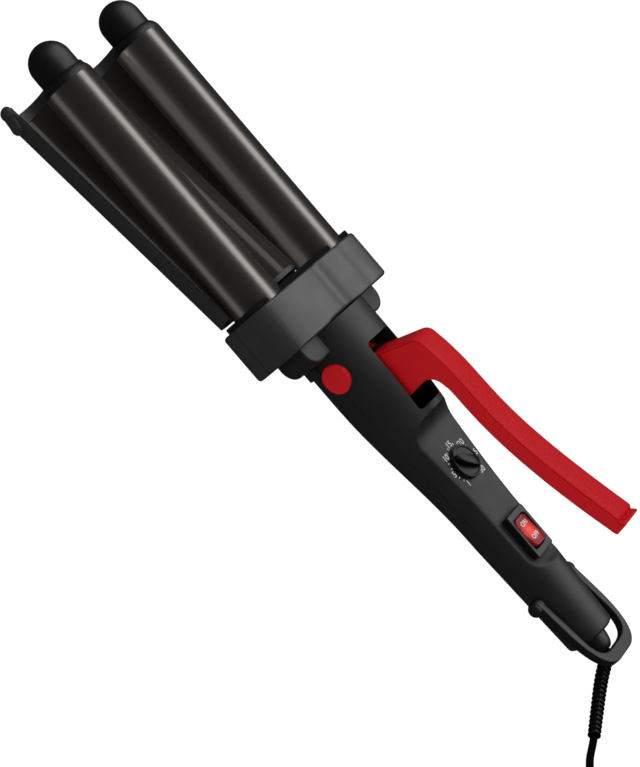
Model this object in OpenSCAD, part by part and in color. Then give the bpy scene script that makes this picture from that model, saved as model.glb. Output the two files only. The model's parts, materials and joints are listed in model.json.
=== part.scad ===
// Hair waver: two heated barrels above a hinged wave plate, squeezed shut by a lever.
// X runs along the handle towards the tip, Y to the left, Z up. All sizes in millimetres.

/* [Barrels] */
// Diameter of each heated barrel
barrel_d = 25.4; // [20:0.1:28]
// Distance between the two barrel axes
barrel_pitch = 56; // [50:0.5:60]
// Visible length of a barrel, from the heat shield to its shoulder
barrel_len = 126.3; // [90:0.5:160]
// Wall of the barrel tube
barrel_wall = 0.9; // [0.6:0.1:1.5]
// Height of the barrel axes above the handle axis
barrel_lift = 0.9; // [0:0.1:3]
// Length of the cone where the tube is drawn in to the tip
shoulder_len = 4.6; // [2:0.1:8]
// Diameter of the cool tip
tip_d = 20.5; // [16:0.1:22]
// Length of the cool tip beyond the barrel
tip_len = 17.5; // [12:0.5:30]

/* [Wave plate jaw] */
// Gap between barrel and wave plate with the jaw shut
jaw_gap = 0.4; // [0.4:0.1:1.5]
// Thickness of the wave plate
plate_t = 0.8; // [0.6:0.1:1.5]
// Wall of the tray under the wave plate
tray_wall = 0.8; // [0.8:0.1:2]
// Height of the middle crest above the barrel axes with the jaw shut
crest_top = 9.8; // [7:0.1:11]
// Angle that the jaw stands open at rest
open_angle = 7.2; // [4:0.1:8]
// How far the wave plate reaches past the barrel shoulder
plate_reach = 5.4; // [2:0.1:8]
// Radius of the corner bumpers on the tray
bumper_r = 3.2; // [2.6:0.1:3.6]
// Half width of the jaw arm
arm_half = 5.5; // [4:0.1:6]

/* [Collar] */
// Length of the collar along the handle
collar_len = 24.9; // [20:0.1:34]
// Half width of the collar
collar_half = 45.3; // [43:0.1:55]
// Height of the collar's top above the handle axis
collar_top = 15.4; // [14.6:0.1:18]
// Depth of the collar's underside below the handle axis
collar_bottom = 16.9; // [15.5:0.1:20]
// Radius of the collar's upper corners
collar_round = 5; // [4:0.5:9]
// Radius of the collar's lower corners
collar_round_low = 8; // [5:0.5:9]
// Dip between the two lobes of the collar
collar_dip = 0.7; // [0:0.1:1]
// Wall of the collar shells
collar_wall = 2.2; // [1.6:0.1:3]
// Depth of the collar's parting line below the handle axis
collar_split = 5; // [3:0.5:8]
// Thickness of the heat shield plate
shield_t = 2.5; // [1.5:0.1:4]
// How far the heat shield stands in from the collar's outline
shield_inset = 2.9; // [2.6:0.1:5]

/* [Handle] */
// Distance from the hinge pin back to the tail face
tail_reach = 164; // [155:0.5:180]
// Distance from the hinge pin forward to the collar
neck_reach = 20.9; // [20:0.1:24]
// Diameter of the neck round the hinge
neck_d = 41.6; // [40:0.1:44]
// Diameter of the grip behind the control panel's front end
grip_d = 29.4; // [28:0.1:33]
// Diameter of the tail
tail_d = 24.4; // [23:0.1:28]
// Wall of the handle shells
handle_wall = 2.2; // [1.6:0.1:2.6]
// Height of the hinge pin above the handle axis
pivot_lift = 0.9; // [0:0.1:2]
// Height of the flat control panel above the handle axis
panel_z = 8.9; // [8:0.1:9.5]
// Half width of the shoulders beside the neck
ear_half = 34.5; // [30:0.5:38]
// Length of the shoulders along the handle
ear_len = 10.2; // [7:0.1:11]

/* [Hinge and lever] */
// Diameter of the hinge pin
pin_d = 5; // [4:0.1:6]
// Diameter of the red cap over each pin end
cap_d = 14.6; // [14:0.1:17]
// Width of the lever
lever_w = 13.8; // [12:0.1:14.2]
// Angle between the lever's base line and the jaw
lever_set = 7.2; // [5:0.1:8]
// Diameter of the hinge spring wire
spring_wire = 1.2; // [1:0.1:1.4]

/* [Controls] */
// Distance from the hinge pin back to the dial's centre
dial_back = 66.1; // [64:0.1:68]
// Diameter of the dial
dial_d = 16.5; // [14:0.1:18]
// Height of the dial disc
dial_h = 2; // [1.5:0.1:3]
// Height of the grip bar on the dial
dial_bar_h = 2.2; // [1:0.1:3]
// Turn of the grip bar from the handle's axis at rest
dial_turn = 50; // [-130:1:130]
// Distance from the hinge pin back to the switch's centre
switch_back = 108.2; // [106:0.1:110]
// Length of the switch bezel
bezel_l = 23; // [21:0.1:24]
// Width of the switch bezel
bezel_w = 15; // [13.5:0.1:16]
// Height of the switch bezel above the panel
bezel_h = 3.9; // [2:0.1:5]
// Length of the rocker
rocker_l = 15; // [13:0.1:16]
// Tilt of the rocker at rest, with its front end pressed
rocker_tilt = 7; // [4:0.5:8]

/* [Hanging loop] */
// Distance from the hinge pin back to the loop's pivots
loop_back = 136.4; // [134:0.1:142]
// Length of the loop from its pivots to its outer edge
loop_len = 43.2; // [42:0.1:50]
// Half width across the loop's outside
loop_half = 18.8; // [18.4:0.1:21]
// Width of the loop's side arms
loop_bar = 4.2; // [3.2:0.1:4.2]
// Width of the loop's end bar
loop_end_bar = 6.2; // [4:0.1:6.6]
// Height of the loop's bars
loop_t = 4.6; // [3.6:0.1:5]
// Angle that the loop is raised at rest
loop_raise = 7.5; // [6:0.5:12]

/* [Cord] */
// Diameter of the cord
cord_d = 3.6; // [3:0.1:4]
// Diameter of the strain relief at the handle
boot_d = 6.8; // [6:0.1:7]
// Middle diameter of the stored coil
coil_d = 40; // [36:1:44]
// Turns side by side across the coil
coil_across = 4; // [3:1:4]
// Layers of turns in the coil
coil_layers = 3; // [2:1:4]

/* [Hidden] */

$fn = 64;
fit = 0.05;          // running clearance of a shaft in its hole, on radius
seat = 0.1;          // clearance round a piece that is pushed or screwed into place
clear = 0.3;         // clearance between moving pieces
over = 1;            // how far a cutting shape runs past the surface it cuts

// Places along the handle
barrel_r = barrel_d / 2;
tip_r = tip_d / 2;
half_pitch = barrel_pitch / 2;
collar_x = neck_reach;
shield_x = collar_x + collar_len;
shield_front = shield_x + shield_t;
shoulder_x = shield_front + barrel_len;
barrel_end = shoulder_x + shoulder_len;
tip_x = barrel_end + tip_len;
tail_x = -tail_reach;
ear_x = neck_reach - ear_len;

// Handle outline
neck_r = neck_d / 2;
grip_r = grip_d / 2;
tail_r = tail_d / 2;
neck_end = -8;       // where the neck starts to narrow
grip_x = -100;       // where the narrowing ends
tail_round = 2;      // rounding of the tail's rim
tail_wall = 3;
cove_front = -49;    // where the panel turns up to the neck
cove_front_r = 11;
cove_back = -116;    // where the panel turns up to the tail
cove_back_r = 12;
ear_top = 8.1;
ear_bottom = 9.3;
ear_round = 4.5;
ear_edge = 1.6;
lip_r = 22.3;
lip_len = 5.2;

// Openings for the arm and the lever
window_half = arm_half + 1.1;
window_top = pivot_lift + 8.6;
window_bottom = pivot_lift - 11;
slot_front = 3.5;
slot_back = -34.8;
slot_half = lever_w / 2 + 2.6;

// Jaw, in its own frame: hinge pin at the origin, barrel axes at z = barrel_lift - pivot_lift when shut
trough_r = barrel_r + jaw_gap;
under_r = trough_r + plate_t;
tray_in_r = under_r + seat;
tray_out_r = tray_in_r + tray_wall;
jaw_z = barrel_lift - pivot_lift;
crest_r = (half_pitch * half_pitch + crest_top * crest_top - trough_r * trough_r) / (2 * (trough_r + crest_top));
crest_z = crest_top - crest_r;
arc_sum = crest_r + trough_r;
rim_z = 0.6;
tray_top = rim_z - 0.2;
jaw_back = shield_front + 3.2;
jaw_front = shoulder_x + plate_reach;
cap_len = 5.6;         // front end cap of the tray, past the plate
arm_bottom = -4;
arm_top = 7.4;
arm_low_top = 3.1;
arm_step = jaw_back + 4;
arm_front = jaw_front - 4;
cheek_in = lever_w / 2 + seat;
cheek_out = cheek_in + 2.2;
bridge_back = 9.8;
bridge_front = neck_reach - 2.4;
hub_r = 8;
bumper_y = half_pitch + tray_out_r - 0.4;

// Hinge
pin_r = pin_d / 2;
cap_r = cap_d / 2;
cap_seat = 18.3;     // depth at which the cap sits, from the middle of the handle
cap_t = 2.9;
boss_r = 6;
boss_in = 14.8;
pin_half = 18;
spring_in = cheek_out + clear;
spring_mean_r = 5.2;
spring_peg_x = -9;
spring_peg_z = -7.4;
lug_x = 12.8;
lug_top = 5;

// Controls
board_z = -3;
board_t = 1.6;
board_x0 = -94;
board_x1 = -46;
pot_r = 7.6;
shaft_r = 3;
dial_x = -dial_back;
knob_z = panel_z + clear;
switch_x = -switch_back;
bezel_top = panel_z + bezel_h;
rocker_z = bezel_top - 1.8;
rocker_w = bezel_w - 2;
rocker_clear = 0.35;
trunnion_r = 1.2;
switch_depth = 11;

// Tail
loop_x = -loop_back;
loop_offset = 1.4;
knuckle_r = 3.8;
loop_pin_r = 1.5;
nose_r = 6.4;
nose_len = 9;
boot_core_r = 2.2;
hub_bore_r = boot_core_r + 0.35;
nose_end_r = 3.3;
swivel_r = 5;
clip_x = tail_x + tail_wall + clear;
clamp_x = clip_x + 6;
clamp_l = 5;

// Attitude: the open jaw's lower front edge and the tail's rim rest on the same level
jaw_corner = [(jaw_front + cap_len) * cos(open_angle) - (tray_out_r - jaw_z) * sin(open_angle),
    pivot_lift - (jaw_front + cap_len) * sin(open_angle) - (tray_out_r - jaw_z) * cos(open_angle)];
rim_corner = [tail_x + tail_round, tail_round - tail_r];
rest_span = norm(jaw_corner - rim_corner);
rest_tilt = atan2(rim_corner[1] - jaw_corner[1], jaw_corner[0] - rim_corner[0]) - asin(tail_round / rest_span);
rest_lift = -(jaw_corner[0] * sin(rest_tilt) + jaw_corner[1] * cos(rest_tilt));
loop_end = loop_x - loop_len * cos(loop_raise);
front_most = (tip_x - tip_r) * cos(rest_tilt) - barrel_lift * sin(rest_tilt) + tip_r;
back_most = loop_end * cos(rest_tilt) - (loop_len * sin(loop_raise) + loop_offset) * sin(rest_tilt);
rest_shift = -(front_most + back_most) / 2;

// A point of the handle's frame, as it lies
function lie(p) = [p[0] * cos(rest_tilt) - p[2] * sin(rest_tilt) + rest_shift, p[1],
    p[0] * sin(rest_tilt) + p[2] * cos(rest_tilt) + rest_lift];

// Strain relief: its straight part from the tail's face, then its bend, and the radius at each point
boot_in = [[13, 0, 0], [-9.6, 0, 0], [-10.8, 0, -0.1], [-12, 0.6, -0.6]];
boot_bend = [[-13, 2.2, -1.5], [-14.4, 5.2, -2.3], [-16.2, 9.2, -3.1], [-18.4, 13.6, -3.8],
    [-21, 18.4, -4.6], [-24, 23.8, -5.4], [-27, 29.4, -6.1], [-30.2, 35.6, -6.7]];
boot_route = [for (p = concat(boot_in, boot_bend)) lie(p + [tail_x, 0, 0])];
boot_end_r = 3;
boot_rings = concat([boot_core_r, boot_core_r, boot_d / 2 - 0.5],
    [for (i = [0:8]) boot_d / 2 + (boot_end_r - boot_d / 2) * i / 8]);

// Route of the cord on the surface that the waver lies on
boot_end = boot_route[len(boot_route) - 1];
lead_first = [-204, 40.6, 2.3];
lead_route = concat([boot_end + 0.2 * unit(lead_first - boot_end), lead_first], [[-206, 46, 1.9],
    [-208.6, 51, 1.9], [-212.2, 55.6, 1.9], [-217, 59, 1.9], [-223, 61.2, 1.9], [-230, 62.2, 1.9], [-238, 62.4, 1.9]]);
coil_mid = [-238, 92, 0];
plug_from = [-215.2, 121.6, 6.6];
plug_neck = 2.1;       // where the plug's neck begins, from plug_from
end_route = concat([[-238, 121.6, 1.9], [-233, 121.6, 2], [-228, 121.6, 3.2], [-223, 121.6, 4.9],
    [-218, 121.6, 6.2]], [plug_from, plug_from + [plug_neck - 0.05, 0, 0]]);

// ---------- shared shapes ----------

function unit(v) = v / norm(v);

// Points of an arc, from angle a0 to a1
function arc(cx, cy, r, a0, a1, n) = [for (i = [0:n]) let (a = a0 + (a1 - a0) * i / n) [cx + r * cos(a), cy + r * sin(a)]];

// Points of a cubic curve with control points a, b, c, d
function curve(a, b, c, d, n) = [for (i = [0:n]) let (t = i / n, s = 1 - t)
    s * s * s * a + 3 * s * s * t * b + 3 * s * t * t * c + t * t * t * d];

// Outline of a rounded box, clockwise from its top, with its own radius above and below
function box_outline(half, low, high, r_high, r_low, n = 6) = concat(
    arc(half - r_high, high - r_high, r_high, 90, 0, n), arc(half - r_low, low + r_low, r_low, 0, -90, n),
    arc(r_low - half, low + r_low, r_low, -90, -180, n), arc(r_high - half, high - r_high, r_high, 180, 90, n));

// Direction of a route at its point i
function heading(p, i) = unit(p[min(i + 1, len(p) - 1)] - p[max(i - 1, 0)]);

function ring(p, t, up, r, n) = let (a = unit(cross(t, up)), b = cross(a, t))
    [for (k = [0:n - 1]) p + r * (cos(360 * k / n) * a + sin(360 * k / n) * b)];

// One closed skin over a list of rings that have the same number of points
module skin(rings) {
    n = len(rings[0]);
    m = len(rings);
    sides = [for (i = [0:m - 2]) for (k = [0:n - 1])
        [i * n + k, i * n + (k + 1) % n, (i + 1) * n + (k + 1) % n, (i + 1) * n + k]];
    ends = [[for (k = [n - 1:-1:0]) k], [for (k = [0:n - 1]) (m - 1) * n + k]];
    polyhedron([for (r = rings) for (q = r) q], concat(sides, ends), convexity = 6);
}

// Tube along a route, with a radius for each of its points
module tube(route, radii, sides, up = [0, 0, 1]) {
    skin([for (i = [0:len(route) - 1]) ring(route[i], heading(route, i), up, radii[i], sides)]);
}

function same(r, n) = [for (i = [1:n]) r];

module along_x(x0, x1) {
    translate([x0, 0, 0]) rotate([90, 0, 90]) linear_extrude(x1 - x0) children();
}

module along_y(y0, y1) {
    translate([0, y1, 0]) rotate([90, 0, 0]) linear_extrude(y1 - y0) children();
}

module rod_x(y, z, r, x0, x1) {
    translate([x0, y, z]) rotate([0, 90, 0]) cylinder(r = r, h = x1 - x0);
}

module rod_y(x, z, r, y0, y1) {
    translate([x, y0, z]) rotate([-90, 0, 0]) cylinder(r = r, h = y1 - y0);
}

module block(x, y, z) {
    translate([x[0], y[0], z[0]]) cube([x[1] - x[0], y[1] - y[0], z[1] - z[0]]);
}

// Turns a profile of [radius, x] points about the X axis
module turned(points, facets = 96) {
    rotate([0, 90, 0]) rotate_extrude($fn = facets) polygon(points);
}

module both_sides() {
    children();
    mirror([0, 1, 0]) children();
}

module pick_side(left) {
    if (left) children();
    else mirror([0, 1, 0]) children();
}

// The waver as it lies: open jaw and tail on the surface
module lying() {
    translate([rest_shift, 0, rest_lift]) rotate([0, -rest_tilt, 0]) children();
}

// The jaw's frame, opened to its rest angle
module in_jaw() {
    lying() translate([0, 0, pivot_lift]) rotate([0, open_angle, 0]) children();
}

// Screw along +Z with its head below z = 0
module screw(length, shank_r = 1.45, head_r = 2.6, head_h = 1.8) {
    difference() {
        translate([0, 0, -head_h]) cylinder(r = head_r, h = head_h);
        translate([0, 0, -head_h - over]) cylinder(r = head_r * 0.42, h = over + head_h * 0.5, $fn = 6);
    }
    cylinder(r = shank_r, h = length);
}

// ---------- handle ----------

function handle_r(x) = x > neck_end ? neck_r
    : x > grip_x ? grip_r + (neck_r - grip_r) * (1 + cos(180 * (neck_end - x) / (neck_end - grip_x))) / 2
    : tail_r + (grip_r - tail_r) * (x - tail_x) / (grip_x - tail_x);

function handle_profile(inset, x0, x1, round_r) = concat([[0, x0]],
    [for (p = arc(handle_r(x0) - inset - round_r, x0 + round_r, round_r, -90, 0, 4)) p],
    [for (i = [0:16]) let (x = grip_x + (neck_end - grip_x) * i / 16) [handle_r(x) - inset, x]],
    [[neck_r - inset, x1], [0, x1]]);

// Handle screws: [x, y, height of the head's seat]
handle_screw_at = [[15.8, 22.4, 4 - ear_bottom], [15.8, -22.4, 4 - ear_bottom], [-15, 15.2, -9], [-15, -15.2, -9],
    [-41, 0, 4 - handle_r(-41)], [-128, 0, 4 - handle_r(-128)]];

// Everything above the control panel and its two coves, lowered and widened by grow
module panel_space(grow) {
    block([cove_back, cove_front], [-40, 40], [panel_z - grow, 60]);
    rod_y(cove_front, panel_z + cove_front_r, cove_front_r + grow, -40, 40);
    rod_y(cove_back, panel_z + cove_back_r, cove_back_r + grow, -40, 40);
}

module handle_body() {
    turned(handle_profile(0, tail_x, neck_reach, tail_round));
    both_sides() ear();
}

// One shoulder beside the neck, its outer edges rounded in all three views
module ear() {
    intersection() {
        translate([0, 0, -ear_bottom]) linear_extrude(ear_bottom + ear_top)
            polygon(concat([[neck_reach, 15], [neck_reach, ear_half]],
                arc(ear_x + ear_round, ear_half - ear_round, ear_round, 90, 180, 6), [[ear_x, 15]]));
        along_x(ear_x, neck_reach) polygon(box_outline(ear_half, -ear_bottom, ear_top, ear_edge, ear_edge, 4));
        along_y(0, ear_half) polygon(concat([[neck_reach, -ear_bottom], [neck_reach, ear_top]],
            arc(ear_x + ear_edge, ear_top - ear_edge, ear_edge, 90, 180, 4),
            arc(ear_x + ear_edge, ear_edge - ear_bottom, ear_edge, 180, 270, 4)));
    }
}

module handle_cavity() {
    difference() {
        turned(handle_profile(handle_wall, tail_x + tail_wall, neck_reach + over, 1));
        panel_space(handle_wall);
    }
}

module handle_cuts() {
    rod_x(0, 0, swivel_r + fit, tail_x - over, tail_x + tail_wall + over);
    both_sides() rod_y(0, pivot_lift, cap_r + seat, cap_seat, neck_r + over);
    both_sides() rod_x(half_pitch, barrel_lift, 1.5, ear_x + 2, neck_reach + over);
    both_sides() rod_y(loop_x, 0, loop_pin_r, 8, 20);
}

module handle_upper_shell() {
    color("#47484b") lying() difference() {
        union() {
            difference() {
                intersection() {
                    handle_body();
                    block([tail_x - over, neck_reach + over], [-60, 60], [0, 60]);
                }
                handle_cavity();
            }
            intersection() {
                for (p = handle_screw_at) translate([p[0], p[1], 0]) cylinder(r = 3, h = 30);
                turned(handle_profile(handle_wall / 2, tail_x + tail_wall / 2, neck_reach, 1));
            }
        }
        panel_space(0);
        translate([0, 0, 4]) linear_extrude(40) polygon(concat(
            arc(slot_front - 2, slot_half - 2, 2, 90, 0, 4), arc(slot_front - 2, 2 - slot_half, 2, 0, -90, 4),
            arc(slot_back + 2, 2 - slot_half, 2, -90, -180, 4), arc(slot_back + 2, slot_half - 2, 2, 180, 90, 4)));
        handle_cuts();
        both_sides() rod_y(0, pivot_lift, boss_r + clear, boss_in - clear, cap_seat + over);
        for (p = handle_screw_at) translate([p[0], p[1], -over]) cylinder(r = 1.5, h = over + 7);
        translate([dial_x, 0, 0]) cylinder(r = shaft_r + 1, h = 20);
        block([switch_x - bezel_l / 2 + 1.4, switch_x + bezel_l / 2 - 1.4],
            [-bezel_w / 2 + 1, bezel_w / 2 - 1], [0, 40]);
        block([switch_x - bezel_l / 2 - seat, switch_x + bezel_l / 2 + seat],
            [-bezel_w / 2 - seat, bezel_w / 2 + seat], [panel_z, 40]);
    }
}

// Keeps what is inside the handle's lower half, ending within its wall
module inside_lower() {
    intersection() {
        turned(handle_profile(handle_wall / 2, tail_x + tail_wall / 2, neck_reach, 1));
        children();
    }
}

module handle_lower_shell() {
    color("#47484b") lying() difference() {
        union() {
            difference() {
                union() {
                    intersection() {
                        handle_body();
                        block([tail_x - over, neck_reach + over], [-60, 60], [-60, 0]);
                    }
                    intersection() {
                        rod_x(0, 0, lip_r, ear_x - lip_len, ear_x);
                        block([-20, neck_reach], [-60, 60], [-60, -4]);
                    }
                }
                handle_cavity();
            }
            inside_lower() for (p = handle_screw_at) translate([p[0], p[1], -30]) cylinder(r = 3.6, h = 30);
            inside_lower() {
                block([clamp_x, clamp_x + clamp_l], [-6, 6], [-20, -6.4 - seat]);
                for (x = [board_x0 + 4, board_x1 - 4], y = [-7, 7]) translate([x, y, -20]) cylinder(r = 2, h = 20 + board_z - seat);
                block([spring_peg_x - 1.5, spring_peg_x + 1.5], [spring_in, 20], [-20, spring_peg_z]);
            }
            both_sides() rod_y(0, pivot_lift, boss_r, boss_in, cap_seat);
            inside_lower() both_sides() block([-boss_r, boss_r], [boss_in, cap_seat], [-16, 0]);
        }
        handle_cuts();
        both_sides() rod_y(0, pivot_lift, pin_r, boss_in - over, cap_seat + over);
        for (p = handle_screw_at) {
            translate([p[0], p[1], -40]) cylinder(r = 1.6, h = 41);
            translate([p[0], p[1], p[2] - 20]) cylinder(r = 2.8, h = 20);
        }
    }
}

module handle_screws() {
    color("silver") lying() for (p = handle_screw_at)
        translate(p) screw(6 - p[2]);
}

// ---------- collar and heat shield ----------

collar_screw_at = [[collar_x + collar_len / 2, 10.4], [collar_x + collar_len / 2, -10.4]];

function collar_outline(inset) = let (h = collar_half - inset, lo = -collar_bottom + inset, hi = collar_top - inset,
    r = collar_round - inset / 2, q = collar_round_low - inset / 2) concat(
    [[0, hi - collar_dip], [h * 0.25, hi - collar_dip * 0.45], [h * 0.5, hi]],
    arc(h - r, hi - r, r, 85, 0, 6), arc(h - q, lo + q, q, 0, -90, 6),
    arc(q - h, lo + q, q, -90, -180, 6), arc(r - h, hi - r, r, 180, 95, 6),
    [[-h * 0.5, hi], [-h * 0.25, hi - collar_dip * 0.45]]);

collar_edges = [[0, 1.3], [0.35, 0.6], [1.1, 0.1], [1.9, 0]];   // rounding of the front and rear edges: [in, down]

module collar_body() {
    n = len(collar_edges) - 1;
    steps = concat([for (i = [0:n]) [collar_x + collar_edges[i][0], collar_edges[i][1]]],
        [for (i = [n:-1:0]) [shield_x - collar_edges[i][0], collar_edges[i][1]]]);
    skin([for (s = steps) [for (q = collar_outline(s[1])) [s[0], q[0], q[1]]]]);
}

module collar_cavity() {
    along_x(collar_x + collar_wall, shield_x + over) polygon(box_outline(collar_half - collar_wall,
        collar_wall - collar_bottom, collar_top - collar_dip - collar_wall, collar_round - 1, collar_round_low - 1.4));
}

module arm_window(x0, x1) {
    block([x0, x1], [-window_half, window_half], [window_bottom, window_top]);
}

module collar_cuts() {
    arm_window(collar_x - over, shield_x + over);
    both_sides() rod_x(half_pitch, barrel_lift, barrel_r + seat, collar_x + collar_wall, shield_x + over);
    both_sides() rod_x(half_pitch, barrel_lift, 1.6, collar_x - over, collar_x + collar_wall + over);
}

module collar_upper_shell() {
    color("#404144") lying() difference() {
        union() {
            difference() {
                intersection() {
                    collar_body();
                    block([0, 60], [-60, 60], [-collar_split, 60]);
                }
                collar_cavity();
            }
            for (p = collar_screw_at) translate([p[0], p[1], -collar_split])
                cylinder(r = 3, h = collar_split + collar_top - 1.6);
        }
        collar_cuts();
        for (p = collar_screw_at) translate([p[0], p[1], -collar_split - over]) cylinder(r = 1.5, h = 9);
    }
}

module collar_lower_shell() {
    color("#404144") lying() difference() {
        union() {
            difference() {
                intersection() {
                    collar_body();
                    block([0, 60], [-60, 60], [-60, -collar_split]);
                }
                collar_cavity();
            }
            for (p = collar_screw_at) translate([p[0], p[1], -collar_bottom + 1.2])
                cylinder(r = 3.6, h = collar_bottom - collar_split - 1.2);
        }
        collar_cuts();
        for (p = collar_screw_at) {
            translate([p[0], p[1], -40]) cylinder(r = 1.6, h = 60);
            translate([p[0], p[1], -40]) cylinder(r = 2.8, h = 40 - collar_bottom + 5);
        }
    }
}

module collar_screws() {
    color("silver") lying() for (p = collar_screw_at)
        translate([p[0], p[1], 5 - collar_bottom]) screw(collar_bottom - collar_split + 2);
}

module heat_shield() {
    color("#37383a") lying() difference() {
        union() {
            along_x(shield_x, shield_front) polygon(box_outline(collar_half - shield_inset,
                shield_inset - collar_bottom, collar_top - shield_inset, 4, 6.5));
            along_x(shield_x - 2, shield_x) polygon(box_outline(collar_half - collar_wall - seat,
                collar_wall + seat - collar_bottom, collar_top - collar_dip - collar_wall - seat, 4, 6.6));
        }
        both_sides() rod_x(half_pitch, barrel_lift, barrel_r + seat, shield_x - 4, shield_front + over);
        arm_window(shield_x - 4, shield_front + over);
    }
}

// ---------- barrels ----------

mount_r = barrel_r - barrel_wall - seat;
mount_len = 6;
barrel_back = collar_x + collar_wall + seat;
tube_mouth_r = tip_r - barrel_wall;

module barrel(left) {
    color("#4b4844") lying() pick_side(left) translate([0, half_pitch, barrel_lift]) turned([
        [barrel_r - barrel_wall, barrel_back], [barrel_r, barrel_back], [barrel_r, shoulder_x],
        [tip_r, barrel_end], [tube_mouth_r, barrel_end], [barrel_r - barrel_wall, shoulder_x]]);
}

module barrel_tip(left) {
    color("#333436") lying() pick_side(left) translate([0, half_pitch, barrel_lift]) turned(concat(
        [[0, barrel_end - 5], [tube_mouth_r - seat - 0.8, barrel_end - 5], [tube_mouth_r - seat, barrel_end - 3.6],
        [tube_mouth_r - seat, barrel_end], [tip_r, barrel_end]],
        arc(0, tip_x - tip_r, tip_r, 0, 90, 12)));
}

// Insulating plug that carries the rear end of a barrel
module barrel_mount(left) {
    color("#d9d2c0") lying() pick_side(left) difference() {
        rod_x(half_pitch, barrel_lift, mount_r, collar_x + collar_wall, collar_x + collar_wall + mount_len);
        rod_x(half_pitch, barrel_lift, 1.6, collar_x, collar_x + 20);
        rod_x(half_pitch, barrel_lift, 3, collar_x + collar_wall + 4, collar_x + 20);
    }
}

module mount_screws() {
    color("silver") lying() both_sides() translate([collar_x + collar_wall + 4, half_pitch, barrel_lift])
        rotate([0, -90, 0]) screw(14);
}

core_x0 = shield_front + 6;
core_x1 = shoulder_x - 10;
heater_half = 1.6;
core_r = barrel_r - barrel_wall - seat;

module heat_core(left) {
    color("silver") lying() pick_side(left) difference() {
        rod_x(half_pitch, barrel_lift, core_r, core_x0, core_x1);
        block([core_x0 - over, core_x1 + over], [0, 60], [barrel_lift - heater_half, barrel_lift + heater_half]);
    }
}

module barrel_heater(left) {
    color("#c8c4b4") lying() pick_side(left) block([core_x0 + 3, core_x1 - 3], [half_pitch - 8, half_pitch + 8],
        [barrel_lift - heater_half + seat, barrel_lift + heater_half - seat]);
}

// ---------- hinge ----------

module pivot_pin() {
    color("silver") lying() rod_y(0, pivot_lift, pin_r, -pin_half, pin_half);
}

module pivot_cap(left) {
    color("#c8202f") lying() pick_side(left) translate([0, 0, pivot_lift]) rotate([-90, 0, 0]) rotate_extrude($fn = 72)
        polygon(concat([[0, cap_seat]], [[cap_r, cap_seat]], arc(cap_r - 0.9, cap_seat + cap_t - 0.9, 0.9, 0, 80, 4),
            [[0, cap_seat + cap_t + 0.15]]));
}

module pivot_spacer() {
    color("#e4e0d4") lying() difference() {
        rod_y(0, pivot_lift, pin_r + 2, -boss_in + seat, -cheek_out - seat);
        rod_y(0, pivot_lift, pin_r + fit, -boss_in - over, 0);
    }
}

// Torsion spring round the pin: its legs bear on the lower shell and on the jaw arm
module hinge_spring() {
    steps = 16;
    last_step = 51;
    r = spring_wire / 2;
    y0 = spring_in + r;
    rise = (boss_in - clear - spring_in - spring_wire) / last_step;
    coil = [for (i = [0:last_step]) let (a = 90 + 360 * i / steps)
        [spring_mean_r * cos(a), y0 + rise * i, pivot_lift + spring_mean_r * sin(a)]];
    lug = [lug_x + 1.4, lug_top + r + seat];
    arm_leg = [lug[0] * cos(open_angle) + lug[1] * sin(open_angle), y0,
        pivot_lift - lug[0] * sin(open_angle) + lug[1] * cos(open_angle)];
    peg_leg = [spring_peg_x, coil[last_step][1], spring_peg_z + r + seat];
    route = concat([arm_leg], coil, [peg_leg]);
    color("#b9bcc0") lying() tube(route, same(spring_wire / 2, len(route)), 8, [0, 1, 0]);
}

// ---------- lever ----------

// Side outlines of the grip, in the handle's frame with the jaw open
lever_top = curve([-12, 40.2], [-47.9, 47.7], [-46, 35.6], [-124, 59.8], 16);
lever_under = curve([-33, 34.2], [-38.4, 36.9], [-60.8, 29.7], [-127, 52], 16);
lever_half = lever_w / 2;

// One cross-section of the grip, between an upper and a lower point of the side outline
function grip_ring(hi, lo, half, r) = let (up = unit(hi - lo), mid = (hi + lo) / 2, h = norm(hi - lo) / 2)
    [for (q = box_outline(half, -h, h, min(r, h * 0.9), min(r, h * 0.9), 3)) [mid[0] + up[0] * q[1], q[0], mid[1] + up[1] * q[1]]];

module lever() {
    n = len(lever_top) - 1;
    lip = [grip_ring([-125.8, 58.9], [-127.8, 52.3], lever_half - 0.6, 1.2), grip_ring([-127.2, 60.8], [-129, 53], lever_half, 1.2),
        grip_ring([-128.4, 60.9], [-129.9, 53.9], lever_half - 0.2, 1.2)];
    rings = concat([for (i = [1:n]) grip_ring(lever_top[i], lever_under[i], lever_half, min(1.2, 0.1 + 0.25 * i))], lip);
    color("#c8202f") in_jaw() rotate([0, -lever_set, 0]) translate([0, 0, -pivot_lift]) difference() {
        union() {
            skin([for (i = [len(rings) - 1:-1:0]) rings[i]]);
            along_y(-lever_half, lever_half) polygon(concat([[4, 6], [-1.8, 12]], arc(-12.6, 34.7, 5.4, 18, 84, 5),
                [lever_top[1], lever_top[2], lever_top[3], lever_under[2], lever_under[1]],
                arc(-33.6, 26.2, 8, 82, 6, 6), [[-27, 15], [-8, -3], [4, -3]]));
            rod_y(0, pivot_lift, hub_r, -lever_half, lever_half);
        }
        rod_y(0, pivot_lift, pin_r + fit, -20, 20);
        translate([0, 0, pivot_lift]) rotate([0, lever_set, 0]) for (p = lever_screw_at) rod_y(p[0], p[1], 1.6, -20, 20);
    }
}

// ---------- jaw ----------

lever_screw_at = [[-13, 5], [-3, 11.4]];

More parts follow.
